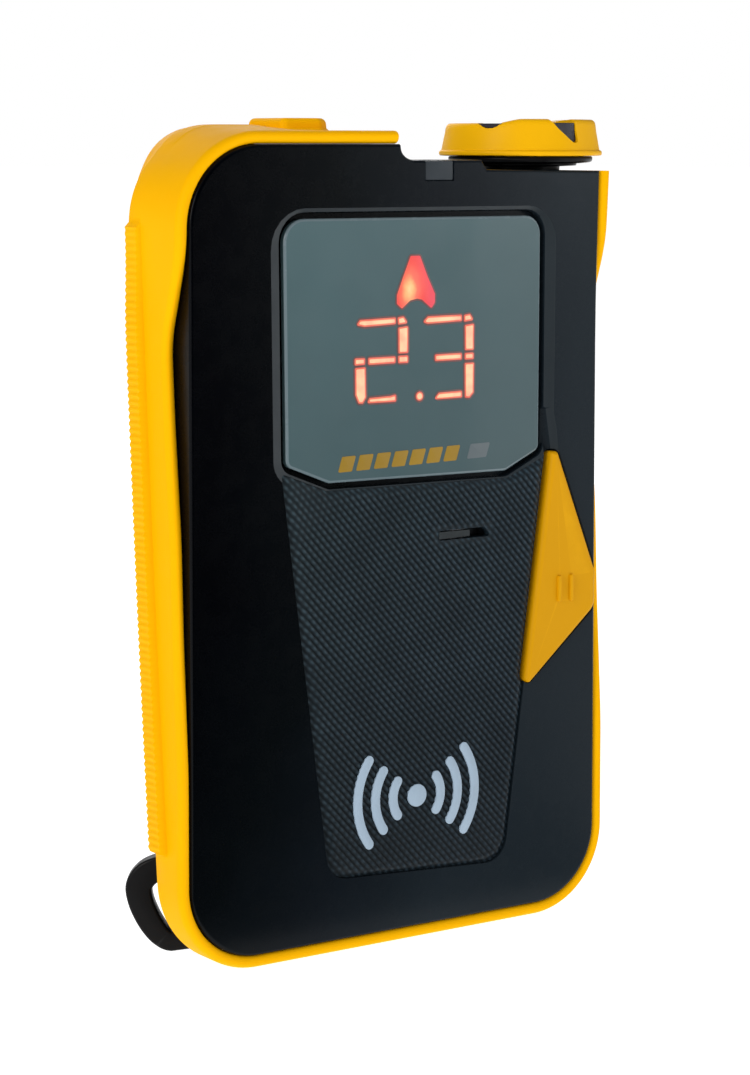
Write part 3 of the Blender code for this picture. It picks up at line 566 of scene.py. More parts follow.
arrow_light = arrow_material()
arrow_hot = lit("arrow_hot_light", srgb(255, 222, 170), srgb(255, 190, 140), 1.0, 0, 0, 1)


def steel_material(name, tone, rough, along=2):
    """Rolled or turned steel with fine streaks along one axis."""
    s = Shader(name, tone, rough, metal=1.0)
    scale = [6000.0, 6000.0, 6000.0]
    scale[along] = 500.0
    streak = s.noise(1.0, 4.0, scale=tuple(scale))
    s.set("Base Color", s.ramp(streak, ((0.3, shade(tone, 0.86)), (0.7, shade(tone, 1.08)))))
    s.set("Roughness", s.range(streak, 0.3, 0.7, rough - 0.08, rough + 0.1))
    s.bump(streak, 0.003)
    return s.mat


steel = steel_material("sheet_steel", srgb(176, 178, 182), 0.34, 0)
screw_steel = steel_material("screw_black_steel", srgb(92, 94, 98), 0.36, 1)


def copper_material(name, along, pitch=0.42):
    """Enamelled wire wound side by side: fine rounded turns across the winding's length, with painted shade in the
    grooves between the turns.
    """
    s = Shader(name, srgb(186, 98, 48), 0.32, metal=1.0, coat=0.5, coat_rough=0.12)
    wave = s.node("TexWave", {"Vector": s.place(), "Scale": math.pi / (10.0 * pitch) , "Distortion": 0.15, "Detail": 1.0, "Detail Scale": 0.5},
                  bands_direction=along).outputs["Fac"]
    # painted shade: the colour darkens into the grooves between the turns
    s.set("Base Color", s.ramp(wave, ((0.05, srgb(92, 42, 20)), (0.6, srgb(190, 102, 52)))))
    s.set("Roughness", s.range(s.noise(2.0), 0.3, 0.7, 0.28, 0.4))
    s.bump(wave, 0.16)
    return s.mat


copper = {"x": copper_material("winding_wire_upright", "Z"), "y": copper_material("winding_wire_across", "X"),
          "z": copper_material("winding_wire_deep", "Y")}


def ferrite_material():
    s = Shader("ferrite_grey", srgb(58, 58, 62), 0.55)
    cells = s.node("TexVoronoi", {"Vector": s.place(), "Scale": 3.0}).outputs["Distance"]
    s.set("Base Color", s.ramp(s.noise(0.5, 5.0), ((0.3, srgb(44, 44, 48)), (0.7, srgb(72, 72, 78)))))
    s.set("Roughness", s.range(s.noise(1.2), 0.3, 0.7, 0.45, 0.65))
    s.bump(cells, 0.03)
    return s.mat


ferrite = ferrite_material()


def board_material():
    """Green solder mask over copper tracks, with small pale pads."""
    s = Shader("board_laminate", srgb(20, 84, 52), 0.32, coat=0.3, coat_rough=0.15)
    brick = s.node("TexBrick", {"Vector": s.place((1000.0, 1000.0, 1000.0), (math.pi / 2, 0.0, 0.0)), "Scale": 0.42, "Mortar Size": 0.035,
                                "Color1": srgb(18, 78, 48), "Color2": srgb(26, 98, 60), "Mortar": srgb(46, 128, 84)})
    dots = s.node("TexVoronoi", {"Vector": s.place(), "Scale": 0.55, "Randomness": 0.6}).outputs["Distance"]
    pad = s.range(dots, 0.16, 0.2, 1.0, 0.0)
    s.set("Base Color", s.mix(pad, brick.outputs["Color"], srgb(200, 196, 176)))
    s.set("Roughness", s.range(s.noise(4.0), 0.3, 0.7, 0.26, 0.4))
    s.bump(brick.outputs["Fac"], 0.04)
    return s.mat


board = board_material()


def cell_material():
    """A cell's printed jacket: a dark sleeve, a silver band at one end and a fine seam."""
    s = Shader("cell_jacket", srgb(60, 66, 74), 0.3, metal=0.35, coat=0.4, coat_rough=0.1)
    z = s.axis("Z")
    tone = s.ramp(s.range(z, 8.0, 53.0, 0.0, 1.0), ((0.0, srgb(190, 192, 196)), (0.035, srgb(190, 192, 196)), (0.05, srgb(52, 60, 70)),
                                                    (0.72, srgb(52, 60, 70)), (0.74, srgb(206, 150, 60)), (0.955, srgb(206, 150, 60)), (0.97, srgb(190, 192, 196))))
    s.set("Base Color", s.mix(s.range(s.noise(0.4, 3.0), 0.3, 0.7, 0.0, 0.12), tone, srgb(120, 124, 130)))
    s.set("Roughness", s.range(s.noise(3.0), 0.3, 0.7, 0.24, 0.36))
    s.bump(s.noise(0.3), 0.004)
    return s.mat


cell = cell_material()
led_white = moulded("led_white_plastic", srgb(214, 214, 206), 0.4, 0.2, 0.004, 0.03).mat
window_dark = moulded("status_window_smoked", srgb(40, 47, 53), 0.2, 0.3, 0.0008, 0.05, specular=0.3, coat=0.1, edge=0.2, spread=0.02).mat
display_black = moulded("display_body_plastic", srgb(30, 32, 38), 0.35, 0.25, 0.004, 0.06).mat
switch_steel = steel_material("switch_can_steel", srgb(150, 152, 156), 0.4, 2)

for node, mat in {
    "lens_gasket": seal_mat, "housing_seal": seal_mat, "knob_o_ring": seal_mat, "button_membrane": seal_mat, "door_gasket": seal_mat,
    "tact_switch": switch_steel, "knob_shaft": steel, "rotary_switch": switch_steel, "main_board": board,
    "display_module": display_black, "speaker": switch_steel, "status_led": led_white, "shield_can": steel,
    "antenna_x_core": ferrite, "antenna_y_core": ferrite, "antenna_z_core": ferrite,
    "antenna_x_coil": copper["x"], "antenna_y_coil": copper["y"], "antenna_z_coil": copper["z"],
    "battery_tray": tray_mat, "battery_1": cell, "battery_2": cell, "battery_3": cell,
    "contact_bridge_upper": steel, "contact_positive": steel, "contact_negative": steel, "contact_bridge_lower": steel,
}.items():
    mesh = NODES[node].data
    mesh.materials.clear()
    mesh.materials.append(mat)


# ------------------------------------------------------------------ front cover
def front_cover():
    bm = bmesh.new()
    r = 0.45
    rings = []
    for k in range(6):
        a = math.pi / 2 * k / 5
        d = r * (1 - math.sin(a))
        rings.append([(x, FACE_Y + r * (1 - math.cos(a)), z) for x, z in inset(OUTLINE, d, d, d)])
    rings += [[(x, FRONT_END, z) for x, z in OUTLINE]]
    inner = inset(OUTLINE, WALL, WALL, WALL)
    rings += [[(x, FRONT_END, z) for x, z in inner], [(x, PLATE_BACK, z) for x, z in inner]]
    loft(bm, rings)
    body = solid("front_cover_shell", bm)
    # the display's pocket: a sloping bezel on its sides and top, then a square-walled recess
    lens_stages = []
    for by, y in ((3.6, FACE_Y - 1.0), (2.5, FACE_Y - 0.05), (2.3, FACE_Y + 0.03), (0.98, -12.62), (0.84, -12.52), (0.78, -12.35), (0.76, -11.1)):
        corners = grow_corners(LENS, by)
        # the slope is narrower along the top than down the sides
        fall = 0.62 * max(0.0, by - 0.84)
        corners = [(x, z - fall if z > 90 else z, r) for x, z, r in corners]
        lens_stages.append((rounded(corners, 6), y))
    grip_stages = []
    for by, y in ((0.4, FACE_Y - 1.0), (0.14, FACE_Y - 0.02), (0.06, FACE_Y + 0.06), (0.04, -12.5), (0.04, -11.4)):
        grip_stages.append((rounded(grow_corners(GRIP, by), 6), y))
    button_stages = []
    for by, y in ((0.7, FACE_Y - 1.0), (0.48, FACE_Y), (0.34, FACE_Y + 0.16), (0.3, -12.6), (0.3, -9.0)):
        button_stages.append((rounded(grow_corners(BUTTON, by), 6), y))
    # a shallow slope that runs from the bezel's right side down to the button's top
    wedge = bmesh.new()
    upper = [(24.9, FACE_Y - 0.6, 75.0), (27.2, FACE_Y - 0.6, 75.0), (28.2, FACE_Y - 0.6, 66.9), (24.9, FACE_Y - 0.6, 66.9)]
    lower = [(24.8, -11.7, 74.0), (25.3, -12.5, 74.0), (26.6, -12.3, 67.0), (24.8, -11.7, 67.0)]
    loft(wedge, [upper, lower])
    cut(body,
        stack("t_lens", lens_stages),
        box("t_window", (WINDOW[0], -12, WINDOW[2]), (WINDOW[1], -9, WINDOW[3])),
        stack("t_grip", grip_stages),
        stack("t_button", button_stages),
        box("t_slot", (SLOT[0], -12.5, SLOT[2]), (SLOT[1], -9, SLOT[3])),
        box("t_status", (STATUS[0] - 0.04, -15, STATUS[2] - 0.04), (STATUS[1] + 0.04, -10.2, 112.0)),
        solid("t_wedge", wedge),
        )
    for i, (x, z) in enumerate(POSTS):
        end = back(z) - WALL - 1.5
        join(body, turned("t_post", ((2.0, PLATE_BACK - 0.6), (2.0, end - 6.0), (2.0, end)), "Y", (x, 0, z), 32))
        cut(body, turned("t_pilot", ((1.05, end - 7.0), (1.05, end + 1.0)), "Y", (x, 0, z), 24))
    flare(body)
    dress(body, black_face_painted_reflection, "housing", "front_cover", slot="cover_plastic", angle=24)
    # the bezel's slope is moulded satin; its colour, paler than the polished face, is a painted sheen
    body.data.materials.append(bezel_satin_painted_sheen)
    for p in body.data.polygons:
        x, y, z = (c / MM for c in p.center)
        if -12.99 < y < -12.5 and p.normal.y < -0.6 and p.normal.y > -0.999 and -23 < x < 28.3 and 64 < z < 105.4:
            p.material_index = 1
    return body


front = front_cover()


# ------------------------------------------------------------------ bumper
def strip_share(x, z):
    if abs(x) < HALF_TOP - 1.5:
        return 0.0
    low = max(0.0, min(1.0, (z - STRIP_FOOT) / 0.5))
    high = max(0.0, min(1.0, (STRIP_TOP - z) / 0.5))
    # the strip starts shallow at the top and reaches its full depth further down
    return low * high * (1.0 - 0.42 * smoothstep((z - 86.0) / 13.0) * (1.0 if x < 0 else 0.0))


def bumper_end(x, z):
    if z > 105:
        return 7.0
    if z < COVER_FOOT + 1 and abs(x) < 20:
        return 7.0
    if abs(x) > HALF_TOP - 2 and z >= 16:
        return widest(z) + 5.0
    if z < 30:
        low = -5.4 if x < 0 else -2.6
        share = max(0.0, min(1.0, (23.0 - abs(x)) / 4.0))
        return low + (7.0 - low) * share
    share = (105 - z) / 4.5
    return widest(z) + 5.0 + (2.0 - widest(z)) * (1 - min(1.0, share))


def smooth_dip(z):
    """The bumper's front edge, eased between the points of its waist."""
    total = 0.0
    for k in range(-4, 5):
        total += lookup(DIP, max(-4.0, min(111.9, z + k * 0.6)))
    return total / 9


RIB_PITCH = 0.94


def crown(x, z):
    if x > -12.0 or z < 108.8:
        return 0.0
    return CROWN * smoothstep((-12.0 - x) / 6.0) * smoothstep((z - 108.6) / 2.6)


def bumper_path():
    """The band's line, with short steps where the ribs are and longer ones elsewhere."""
    path = band_path(28)
    out = [path[0]]
    for a, b in zip(path, path[1:]):
        on_side = abs(a[0]) > HALF_TOP - 1.5 and abs(b[0]) > HALF_TOP - 1.5 and abs(a[1] - b[1]) > 1.0
        step = RIB_PITCH / 6 if on_side and abs(a[1] - b[1]) > 20 else 0.9
        n = max(1, math.ceil(math.dist(a, b) / step - 1e-6))
        out += [tuple(p + (q - p) * k / n for p, q in zip(a, b)) for k in range(1, n + 1)]
    return out


def side_bumper():
    path = bumper_path()
    count = len(path)
    normals = []
    for i, (x, z) in enumerate(path):
        (ax, az), (bx, bz) = path[max(0, i - 1)], path[min(count - 1, i + 1)]
        t = Vector((bx - ax, bz - az)).normalized()
        normals.append(Vector((t.y, -t.x)))
    normals[-1], normals[0] = Vector((1, 0)), Vector((0, 1))
    rings = []
    for (x, z), n in zip(path, normals):
        yf = FACE_Y + (smooth_dip(z) if abs(x) > HALF_TOP - 0.6 else 0.0)
        s = strip_share(x, z)
        yw = widest(z)
        end = bumper_end(x, z)
        lean = HULL_SLOPE * abs(n.x) * (0.65 + 0.35 * abs(n.x))
        fall = lean * max(0.0, end - yw)
        inner_fall = lean * max(0.0, end - cover_turn(z))
        # ribs cross the strip on a slight slant, each a rounded ridge
        def rib(y):
            if s <= 0:
                return 0.0
            t = (z + 0.10 * y) / RIB_PITCH
            return -0.2 * s * (0.5 - 0.5 * math.cos(2 * math.pi * t)) ** 1.4
        rear = BUMPER + (STRIP - 0.07 - BUMPER) * s
        outer_end = max(rear - fall, GAP - inner_fall + 0.8)
        front = yw - 3.0 if yw - 3.0 > yf + 1.0 else yf + 1.0
        turn = max(yw, front + 0.6)
        c = crown(x, z)
        # the front edge is rolled: its crest stands over the band's middle and falls to the face on one side
        section = [(0.03, yf + 1.15)]
        for k in range(6):
            a = math.pi / 2 * k / 5
            section.append((1.0 - 0.95 * math.cos(a), yf + 1.0 * (1 - math.sin(a))))
        for k in range(1, 7):
            a = math.pi / 2 * k / 6
            section.append((BUMPER - 0.8 + 0.8 * math.sin(a), yf + 1.15 * (1 - math.cos(a))))
        section += [(BUMPER + 0.25 * c, yf + 1.15 + (front - 0.1 - yf - 1.15) * 0.35), (BUMPER + 0.62 * c, yf + 1.15 + (front - 0.1 - yf - 1.15) * 0.7),
                    (BUMPER + 0.85 * c, front - 0.1), (BUMPER + 0.9 * c + (rear - BUMPER) * 0.5, front + 0.02)]
        section += [(rear + c + rib(front + 0.25), front + 0.25), (rear + c + rib(turn), turn)]
        for k in range(1, 9):
            t = k / 9
            y = turn + (end - 0.5 - turn) * t
            d = rear + c + (outer_end - 0.6 * c - rear) * (y - turn) / max(1e-6, end - turn)
            section.append((d + rib(y), y))
        d_last = rear + c + (outer_end - 0.6 * c - rear) * (end - 0.45 - turn) / max(1e-6, end - turn)
        tip = outer_end + 0.4 * c
        section += [(d_last + rib(end - 0.45), end - 0.45), (tip - 0.28, end - 0.08), (tip - 0.5, end)]
        section += [(GAP - inner_fall + 0.1, end), (GAP - inner_fall, end - 0.1),
                    (GAP, min(end - 0.2, max(cover_turn(z), front + 0.3))), (GAP, yf + 2.5), (0.03, yf + 2.2), (0.03, yf + 1.35)]
        rings.append([(x + n.x * d, y, z + n.y * d) for d, y in section])
    bm = bmesh.new()
    loft(bm, rings)
    body = solid("side_bumper_band", bm)
    # the thumb pad moulded on the top edge
    zt = COVER_TOP + BUMPER
    pad = ((-14.4, -5.1, 1.0), (-8.2, -5.1, 1.4), (-5.9, -3.0, 1.0), (-5.9, 2.3, 1.0), (-8.2, 4.3, 1.4), (-14.4, 4.3, 1.0))
    bm = bmesh.new()
    rings = []
    for by, h in ((0.5, zt - 1.0), (0.35, zt + 0.05), (0.05, zt + 0.3), (0.0, zt + 0.8)):
        rings.append([(x, y, h) for x, y in rounded(grow_corners(pad, by), 5)])
    for k in range(1, 6):
        a = math.pi / 2 * k / 5
        rings.append([(x, y, zt + 0.8 + (115.0 - zt - 0.8) * math.sin(a)) for x, y in rounded(grow_corners(pad, -0.9 * (1 - math.cos(a))), 5)])
    loft(bm, rings)
    join(body, solid("t_pad", bm))
    flare(body)
    return dress(body, yellow, "housing", "side_bumper", slot="bumper_rubber", angle=42)


bumper = side_bumper()


# ------------------------------------------------------------------ rear cover, door and their screws
def hull(deeper, thin):
    """The rear cover's rings, front edge to back, with its back edge rounded."""
    stages = [(lambda z: REAR_START, 0, 0.0, 0.0, 0.0), (cover_turn, 0, 0.0, 0.0, 0.0)]
    stages += [(lambda z: back(z) - 3.4, 1, 0.0, 0.0, 0.8), (lambda z: back(z) - 2.9, 1, 0.32, 0.02, 0.84),
               (lambda z: back(z) - 2.0, 1, 0.95, 0.16, 1.05), (lambda z: back(z) - 1.25, 1, 1.6, 0.45, 1.5),
               (lambda z: back(z) - 0.7, 1, 2.35, 0.95, 2.15), (lambda z: back(z) - 0.3, 1, 3.2, 1.6, 3.0),
               (lambda z: back(z) - 0.08, 1, 3.9, 2.2, 3.7), (back, 1, 4.6, 2.8, 4.4)]
    rings = []
    for depth, drawn, side, foot, top in stages:
        ring = []
        for x, z in OUTLINE:
            draw = HULL_SLOPE * (back(z) - 3.4 - cover_turn(z)) if drawn else 0.0
            (px, pz), = inset([(x, z)], draw + side + thin, foot + thin, top + thin)
            y = depth(pz)
            if y > REAR_START:
                y = max(y - (deeper if drawn else 0.0), REAR_START + 0.1)
            ring.append((px, y, pz))
        rings.append(ring)
    return rings


def loop_bar(grow, smooth):
    """The lanyard loop's rings: a flat bar bent into a D, its straight root inside the rear cover."""
    out = Vector((-math.cos(math.radians(35)), math.sin(math.radians(35))))
    across = Vector((math.sin(math.radians(35)), math.cos(math.radians(35))))
    root = Vector((-31.4, -1.0))
    line = ((-3.6, 13.1, 1.5), (-0.6, 13.05, 1.55), (1.1, 12.75, 1.7), (2.7, 11.85, 1.8), (3.72, 10.3, 1.82), (3.55, 8.3, 1.75),
            (2.8, 6.3, 1.7), (1.85, 4.6, 1.62), (0.75, 3.25, 1.5), (-0.7, 2.5, 1.4), (-3.6, 2.9, 1.4))
    pts = [Vector(p) for p in line]
    if smooth:
        # a rounded run through the same points
        count = len(pts)
        fine = []
        for i in range(count):
            p0, p1, p2, p3 = (pts[(i + k) % count] for k in (-1, 0, 1, 2))
            straight = i in (0, 9, 10)
            steps = 1 if i == 10 else 8
            for k in range(steps):
                t = k / steps
                if straight:
                    fine.append(p1.lerp(p2, t))
                else:
                    fine.append(0.5 * (2 * p1 + (p2 - p0) * t + (2 * p0 - 5 * p1 + 4 * p2 - p3) * t * t + (3 * p1 - p0 - 3 * p2 + p3) * t ** 3))
        pts = fine
    thick = 1.4 + grow
    rings = []
    count = len(pts)
    for i, p in enumerate(pts):
        e1 = (p - pts[i - 1]).xy.normalized()
        e2 = (pts[(i + 1) % count] - p).xy.normalized()
        n1, n2 = Vector((e1.y, -e1.x)), Vector((e2.y, -e2.x))
        n = (n1 + n2) / max(0.5, 1 + n1.dot(n2))
        half = p.z + grow
        r = 0.42
        ring = []
        for cx, cy, a0 in ((half - r, thick - r, 0), (-half + r, thick - r, 90), (-half + r, -thick + r, 180), (half - r, -thick + r, 270)):
            for k in range(5):
                a = math.radians(a0 + 22.5 * k)
                ring.append((cx + r * math.cos(a), cy + r * math.sin(a)))
        points = []
        for a, b in ring:
            q = p.xy + n * a
            flat = root + out * q.x + across * b
            points.append((flat.x, flat.y, q.y))
        rings.append(points)
    return rings


def rear_cover():
    bm = bmesh.new()
    loft(bm, list(reversed(hull(WALL, WALL))) + hull(0.0, 0.0))
    body = solid("rear_cover_shell", bm)
    tools = []
    for x, z in POSTS:
        tools.append(turned("t_hole", ((1.5, 0.0), (1.5, 20.0)), "Y", (x, 0, z), 32))
        b = back(z)
        tools.append(turned("t_seat", ((2.6, b - 1.1), (2.6, b - 0.25), (2.9, b + 0.1), (3.4, b + 3)), "Y", (x, 0, z), 48))
    door = [(grow_corners(DOOR, 0.3), -6.0), (grow_corners(DOOR, 0.3), -0.3), (grow_corners(DOOR, 0.6), 0.05), (grow_corners(DOOR, 1.2), 3.0)]
    tools.append(stack("t_door", [(rounded(c, 6), (lambda z, d=d: back(z) + d)) for c, d in door]))
    tools.append(turned("t_shaft", ((2.7, 100.0), (2.7, 112.0)), "Z", (KNOB_X, KNOB_Y, 0), 32))
    # the two slots that the loop's arms go in by
    out = Vector((-math.cos(math.radians(35)), math.sin(math.radians(35))))
    across = Vector((math.sin(math.radians(35)), math.cos(math.radians(35))))
    for z0, z1 in ((11.25, 14.95), (1.15, 4.65)):
        bm = bmesh.new()
        rings = []
        for reach in (-3.9, 3.2):
            rings.append([(-31.4 + out.x * reach + across.x * b, -1.0 + out.y * reach + across.y * b, z) for b, z in ((-1.7, z0), (1.7, z0), (1.7, z1), (-1.7, z1))])
        loft(bm, rings)
        tools.append(solid("t_arm", bm))
    cut(body, *tools)
    # three shallow grooves across the upper back, a finger hold
    grooves = []
    for z in (70.0, 74.0, 78.0):
        corners = ((-14.0, z - 0.7, 0.6), (14.0, z - 0.7, 0.6), (14.0, z + 0.7, 0.6), (-14.0, z + 0.7, 0.6))
        grooves.append(stack("t_groove", [(rounded(grow_corners(corners, g), 5), (lambda q, d=d: back(q) + d)) for g, d in ((-0.25, -0.55), (0.0, -0.3), (0.25, 0.05), (0.6, 1.0))]))
    cut(body, *grooves)
    join(body,
         box("t_tab", (-3.6, back(58) - 5.2, 54.2), (3.6, back(58) - 2.2, 63.0)),
         box("t_root", (-3.6, back(58) - 3.0, 60.6), (3.6, back(61) - 0.8, 63.0)))
    cut(body, turned("t_tabhole", ((2.0, 0.0), (2.0, 30.0)), "Y", (0, 0, DOOR_SCREW_Z), 32))
    return dress(body, black_back, "housing", "rear_cover", slot="cover_plastic", angle=28)


rear = rear_cover()


def battery_door():
    stages = []
    r = 0.5
    for k in range(6):
        a = math.pi / 2 * k / 5
        stages.append((rounded(grow_corners(DOOR, -r * (1 - math.sin(a))), 6), (lambda z, d=-r * (1 - math.cos(a)): back(z) + d)))
    stages.append((rounded(DOOR, 6), (lambda z: back(z) - DOOR_T)))
    stages.reverse()
    body = stack("battery_door_panel", stages)
    b = back(DOOR_SCREW_Z)
    tools = [turned("t_hole", ((1.9, 0.0), (1.9, 30.0)), "Y", (0, 0, DOOR_SCREW_Z), 40),
             turned("t_head", ((3.7, b - 0.8), (3.7, b - 0.2), (4.0, b + 0.1), (4.6, b + 4)), "Y", (0, 0, DOOR_SCREW_Z), 64)]
    # shallow grooves cross the door's lower half
    for z in (14.0, 18.0, 22.0, 26.0):
        corners = ((-10.0, z - 0.7, 0.6), (10.0, z - 0.7, 0.6), (10.0, z + 0.7, 0.6), (-10.0, z + 0.7, 0.6))
        tools.append(stack("t_groove", [(rounded(grow_corners(corners, g), 5), (lambda q, d=d: back(q) + d)) for g, d in ((-0.25, -0.5), (0.0, -0.3), (0.25, 0.05), (0.6, 1.0))]))
    cut(body, *tools)
    return dress(body, black_back, "battery_door", "battery_door", slot="cover_plastic", angle=28)


door = battery_door()


def coin_screw():
    b = back(DOOR_SCREW_Z)
    profile = [(1.15, b - 5.0), (1.4, b - 4.7)]
    # thread: rings along the shank
    z = b - 4.6
    while z < b - 1.6:
        profile += [(1.4, z), (1.22, z + 0.175)]
        z += 0.35
    profile += [(1.4, b - 1.4), (1.4, b - 0.5), (3.3, b - 0.5), (3.3, b + 0.0)]
    for k in range(1, 5):
        a = math.pi / 2 * k / 4
        profile.append((2.95 + 0.35 * math.cos(a), b + 0.35 * math.sin(a)))
    profile.append((0.2, b + 0.4))
    body = turned("door_screw_coin", profile, "Y", (0, 0, DOOR_SCREW_Z), 72)
    cut(body, box("t_slot", (-2.6, b - 0.1, DOOR_SCREW_Z - 0.4), (2.6, b + 2, DOOR_SCREW_Z + 0.4), 0.05, 1))
    return dress(body, screw_steel, "door_screw", "door_screw", slot="screw_steel", angle=30)


coin_screw()

for i, (x, z) in enumerate(POSTS):
    y = back(z)
    profile = [(0.4, y - 6.5), (0.75, y - 5.9)]
    t = y - 5.8
    while t < y - 3.2:
        profile += [(0.95, t), (0.72, t + 0.2)]
        t += 0.4
    profile += [(0.9, y - 3.0), (1.1, y - 2.6), (1.1, y - 0.85), (2.2, y - 0.85), (2.2, y - 0.55), (2.05, y - 0.35), (1.6, y - 0.18), (0.1, y - 0.15)]
    screw = turned(f"cover_screw_{i + 1}", profile, "Y", (x, 0, z), 48)
    arms = [box("t_a", (x - 1.1, y - 0.75, z - 0.24), (x + 1.1, y + 1, z + 0.24)), box("t_b", (x - 0.24, y - 0.75, z - 1.1), (x + 0.24, y + 1, z + 1.1))]
    cut(screw, *arms)
    dress(screw, screw_steel, "housing", f"housing_screw_{i + 1}", slot="screw_steel", angle=30)

bm = bmesh.new()
loft(bm, loop_bar(0.0, True), loop=True)
dress(solid("lanyard_loop_bar", bm), black_loop, "housing", "lanyard_loop", slot="loop_plastic", angle=40, weighted=False)


# ------------------------------------------------------------------ knob, its insert and its collar
def knob_rise(deg):
    """How far the knob's rim rises over its mean top: a low lobe, a domed one and a level one."""
    d = deg % 360.0
    low, high = 0.0, 0.58
    if 60.0 <= d < 208.0:
        return low
    if 208.0 <= d < 270.0:
        return low + 0.58 * smoothstep((d - 212.0) / 22.0)
    if d >= 270.0:
        return 0.54
    return low + (0.54 - low) * smoothstep((60.0 - d) / 50.0)


def mode_knob():
    count = 288
    profile = [(KNOB_R - 0.7, 109.8, 0), (KNOB_R - 0.18, 109.84, 0), (KNOB_R - 0.05, 109.93, 0), (KNOB_R, 110.08, 0),
               (KNOB_R, 110.3, 0), (KNOB_R - 0.05, 110.45, 0), (KNOB_R - 0.2, 110.56, 0), (KNOB_R - 0.34, 110.62, 0),
               (KNOB_R - 0.38, 110.8, 0), (KNOB_R - 0.5, 111.4, 0.05), (KNOB_R - 0.66, 112.2, 0.2), (KNOB_R - 0.84, 113.0, 0.5),
               (KNOB_R_TOP + 0.22, 113.6, 0.8), (KNOB_R_TOP + 0.14, 113.9, 1), (KNOB_R_TOP + 0.02, 114.12, 1),
               (KNOB_R_TOP - 0.16, 114.3, 1), (KNOB_R_TOP - 0.4, 114.4, 1), (KNOB_R_TOP - 1.2, 114.42, 1),
               (8.0, 114.36, 0.9), (6.4, 114.3, 0.7), (5.2, 114.24, 0.5), (3.6, 114.2, 0.0)]
    bm = bmesh.new()
    rings = []
    for r, z, w in profile:
        rings.append([(KNOB_X + r * math.cos(2 * math.pi * k / count), KNOB_Y + r * math.sin(2 * math.pi * k / count),
                       z + w * knob_rise(360.0 * k / count)) for k in range(count)])
    loft(bm, rings)
    body = solid("mode_knob_cap", bm)

    def radial(name, section, deg, r0, r1, flare=0.0):
        a = math.radians(deg)
        out, side = Vector((math.cos(a), math.sin(a))), Vector((-math.sin(a), math.cos(a)))
        rings = []
        for r, f in ((r0, 1.0), (r1, 1.0 + flare)):
            rings.append([(KNOB_X + out.x * r + side.x * u * f, KNOB_Y + out.y * r + side.y * u * f, z) for u, z in section])
        bm = bmesh.new()
        loft(bm, rings)
        return solid(name, bm)

    shallow = [(-2.2, 116.0), (-1.75, 114.45), (-1.2, 113.95), (-0.5, 113.68), (0.5, 113.68), (1.2, 113.95), (1.75, 114.45), (2.2, 116.0)]
    deep = [(-3.2, 116.0), (-2.75, 115.0), (-1.6, 113.7), (0.35, 112.05), (0.85, 111.72), (1.3, 111.62), (1.75, 111.8), (1.85, 112.1),
            (1.62, 113.4), (1.55, 114.6), (1.75, 115.05), (2.1, 116.0)]
    cut(body, radial("t_n1", shallow, 208.0, 8.6, 13.5), radial("t_n2", deep, 270.0, 8.6, 13.5))
    cut(body, star("t_star", 0.35, ((112.1, 0.0), (114.2, 0.0), (117.0, 0.0)), 9.75),
        turned("t_bore", ((SHAFT_R + 0.25, KNOB_FOOT - 1), (SHAFT_R + 0.25, 111.6)), "Z", (KNOB_X, KNOB_Y, 0), 48))
    # an open ring under the skirt keeps the wall even
    cut(body, turned("t_hollow", ((4.6, KNOB_FOOT - 1), (KNOB_R - 1.6, KNOB_FOOT - 1), (KNOB_R - 1.8, 111.2), (4.6, 111.2)), "Z", (KNOB_X, KNOB_Y, 0), 96, True))
    # dark panes close the two notches just inside the rim
    for name, section, deg in (("knob_pane_left", [(-1.9, 114.36), (-1.15, 113.98), (-0.48, 113.74), (0.48, 113.74), (1.15, 113.98), (1.9, 114.36)], 208.0),
                               ("knob_pane_front", [(-2.3, 114.45), (-1.55, 113.68), (0.37, 112.1), (0.88, 111.76), (1.28, 111.68), (1.68, 111.84), (1.8, 112.1), (1.57, 113.4), (1.5, 114.45)], 270.0)):
        pane = radial(name, section, deg, 9.82, 10.5)
        dress(pane, pane_dark, "mode_knob", slot="insert_plastic", angle=40, bevel=0.05, seg=2)
    return dress(body, knob_yellow, "mode_knob", "mode_knob", slot="knob_plastic", angle=34)


def star(name, grow, stages, reach, half=1.6, hub=4.2):
    """The two-armed middle: a round hub with an arm to each notch."""
    bm = bmesh.new()
    rings = []
    for z, more in stages:
        g = grow + more
        h, hb = half + g, hub + g
        points = []
        start = math.asin(h / hb)
        angles = [math.radians(a) for a in NOTCHES]
        for i, a in enumerate(angles):
            nxt = angles[(i + 1) % len(angles)] + (2 * math.pi if i == len(angles) - 1 else 0)
            out = Vector((math.cos(a), math.sin(a)))
            side = Vector((-out.y, out.x))
            tip = reach + more
            for k in range(7):
                t = -math.pi / 2 + math.pi * k / 6
                r = min(h, 0.5)
                points.append(out * (tip - r + r * math.cos(t)) + side * ((h - r) * (1 if t > 0 else -1 if t < 0 else 0) + r * math.sin(t)))
            first, last = a + start, nxt - start
            whole = nxt - a - 2 * math.asin(half / hub)
            steps = max(3, int(whole / 0.09))
            for k in range(steps + 1):
                t = first + (last - first) * k / steps
                points.append(Vector((hb * math.cos(t), hb * math.sin(t))))
        rings.append([(KNOB_X + p.x, KNOB_Y + p.y, z) for p in points])
    loft(bm, rings)
    return solid(name, bm)


knob = mode_knob()
lock = star("knob_lock_insert", 0.0, ((113.2, -0.1), (113.3, 0.0), (114.02, 0.0), (114.18, -0.06), (114.27, -0.15), (114.3, -0.3)), 9.4)
dress(lock, insert_black, "knob_lock_button", "knob_lock_button", slot="insert_plastic", angle=50)

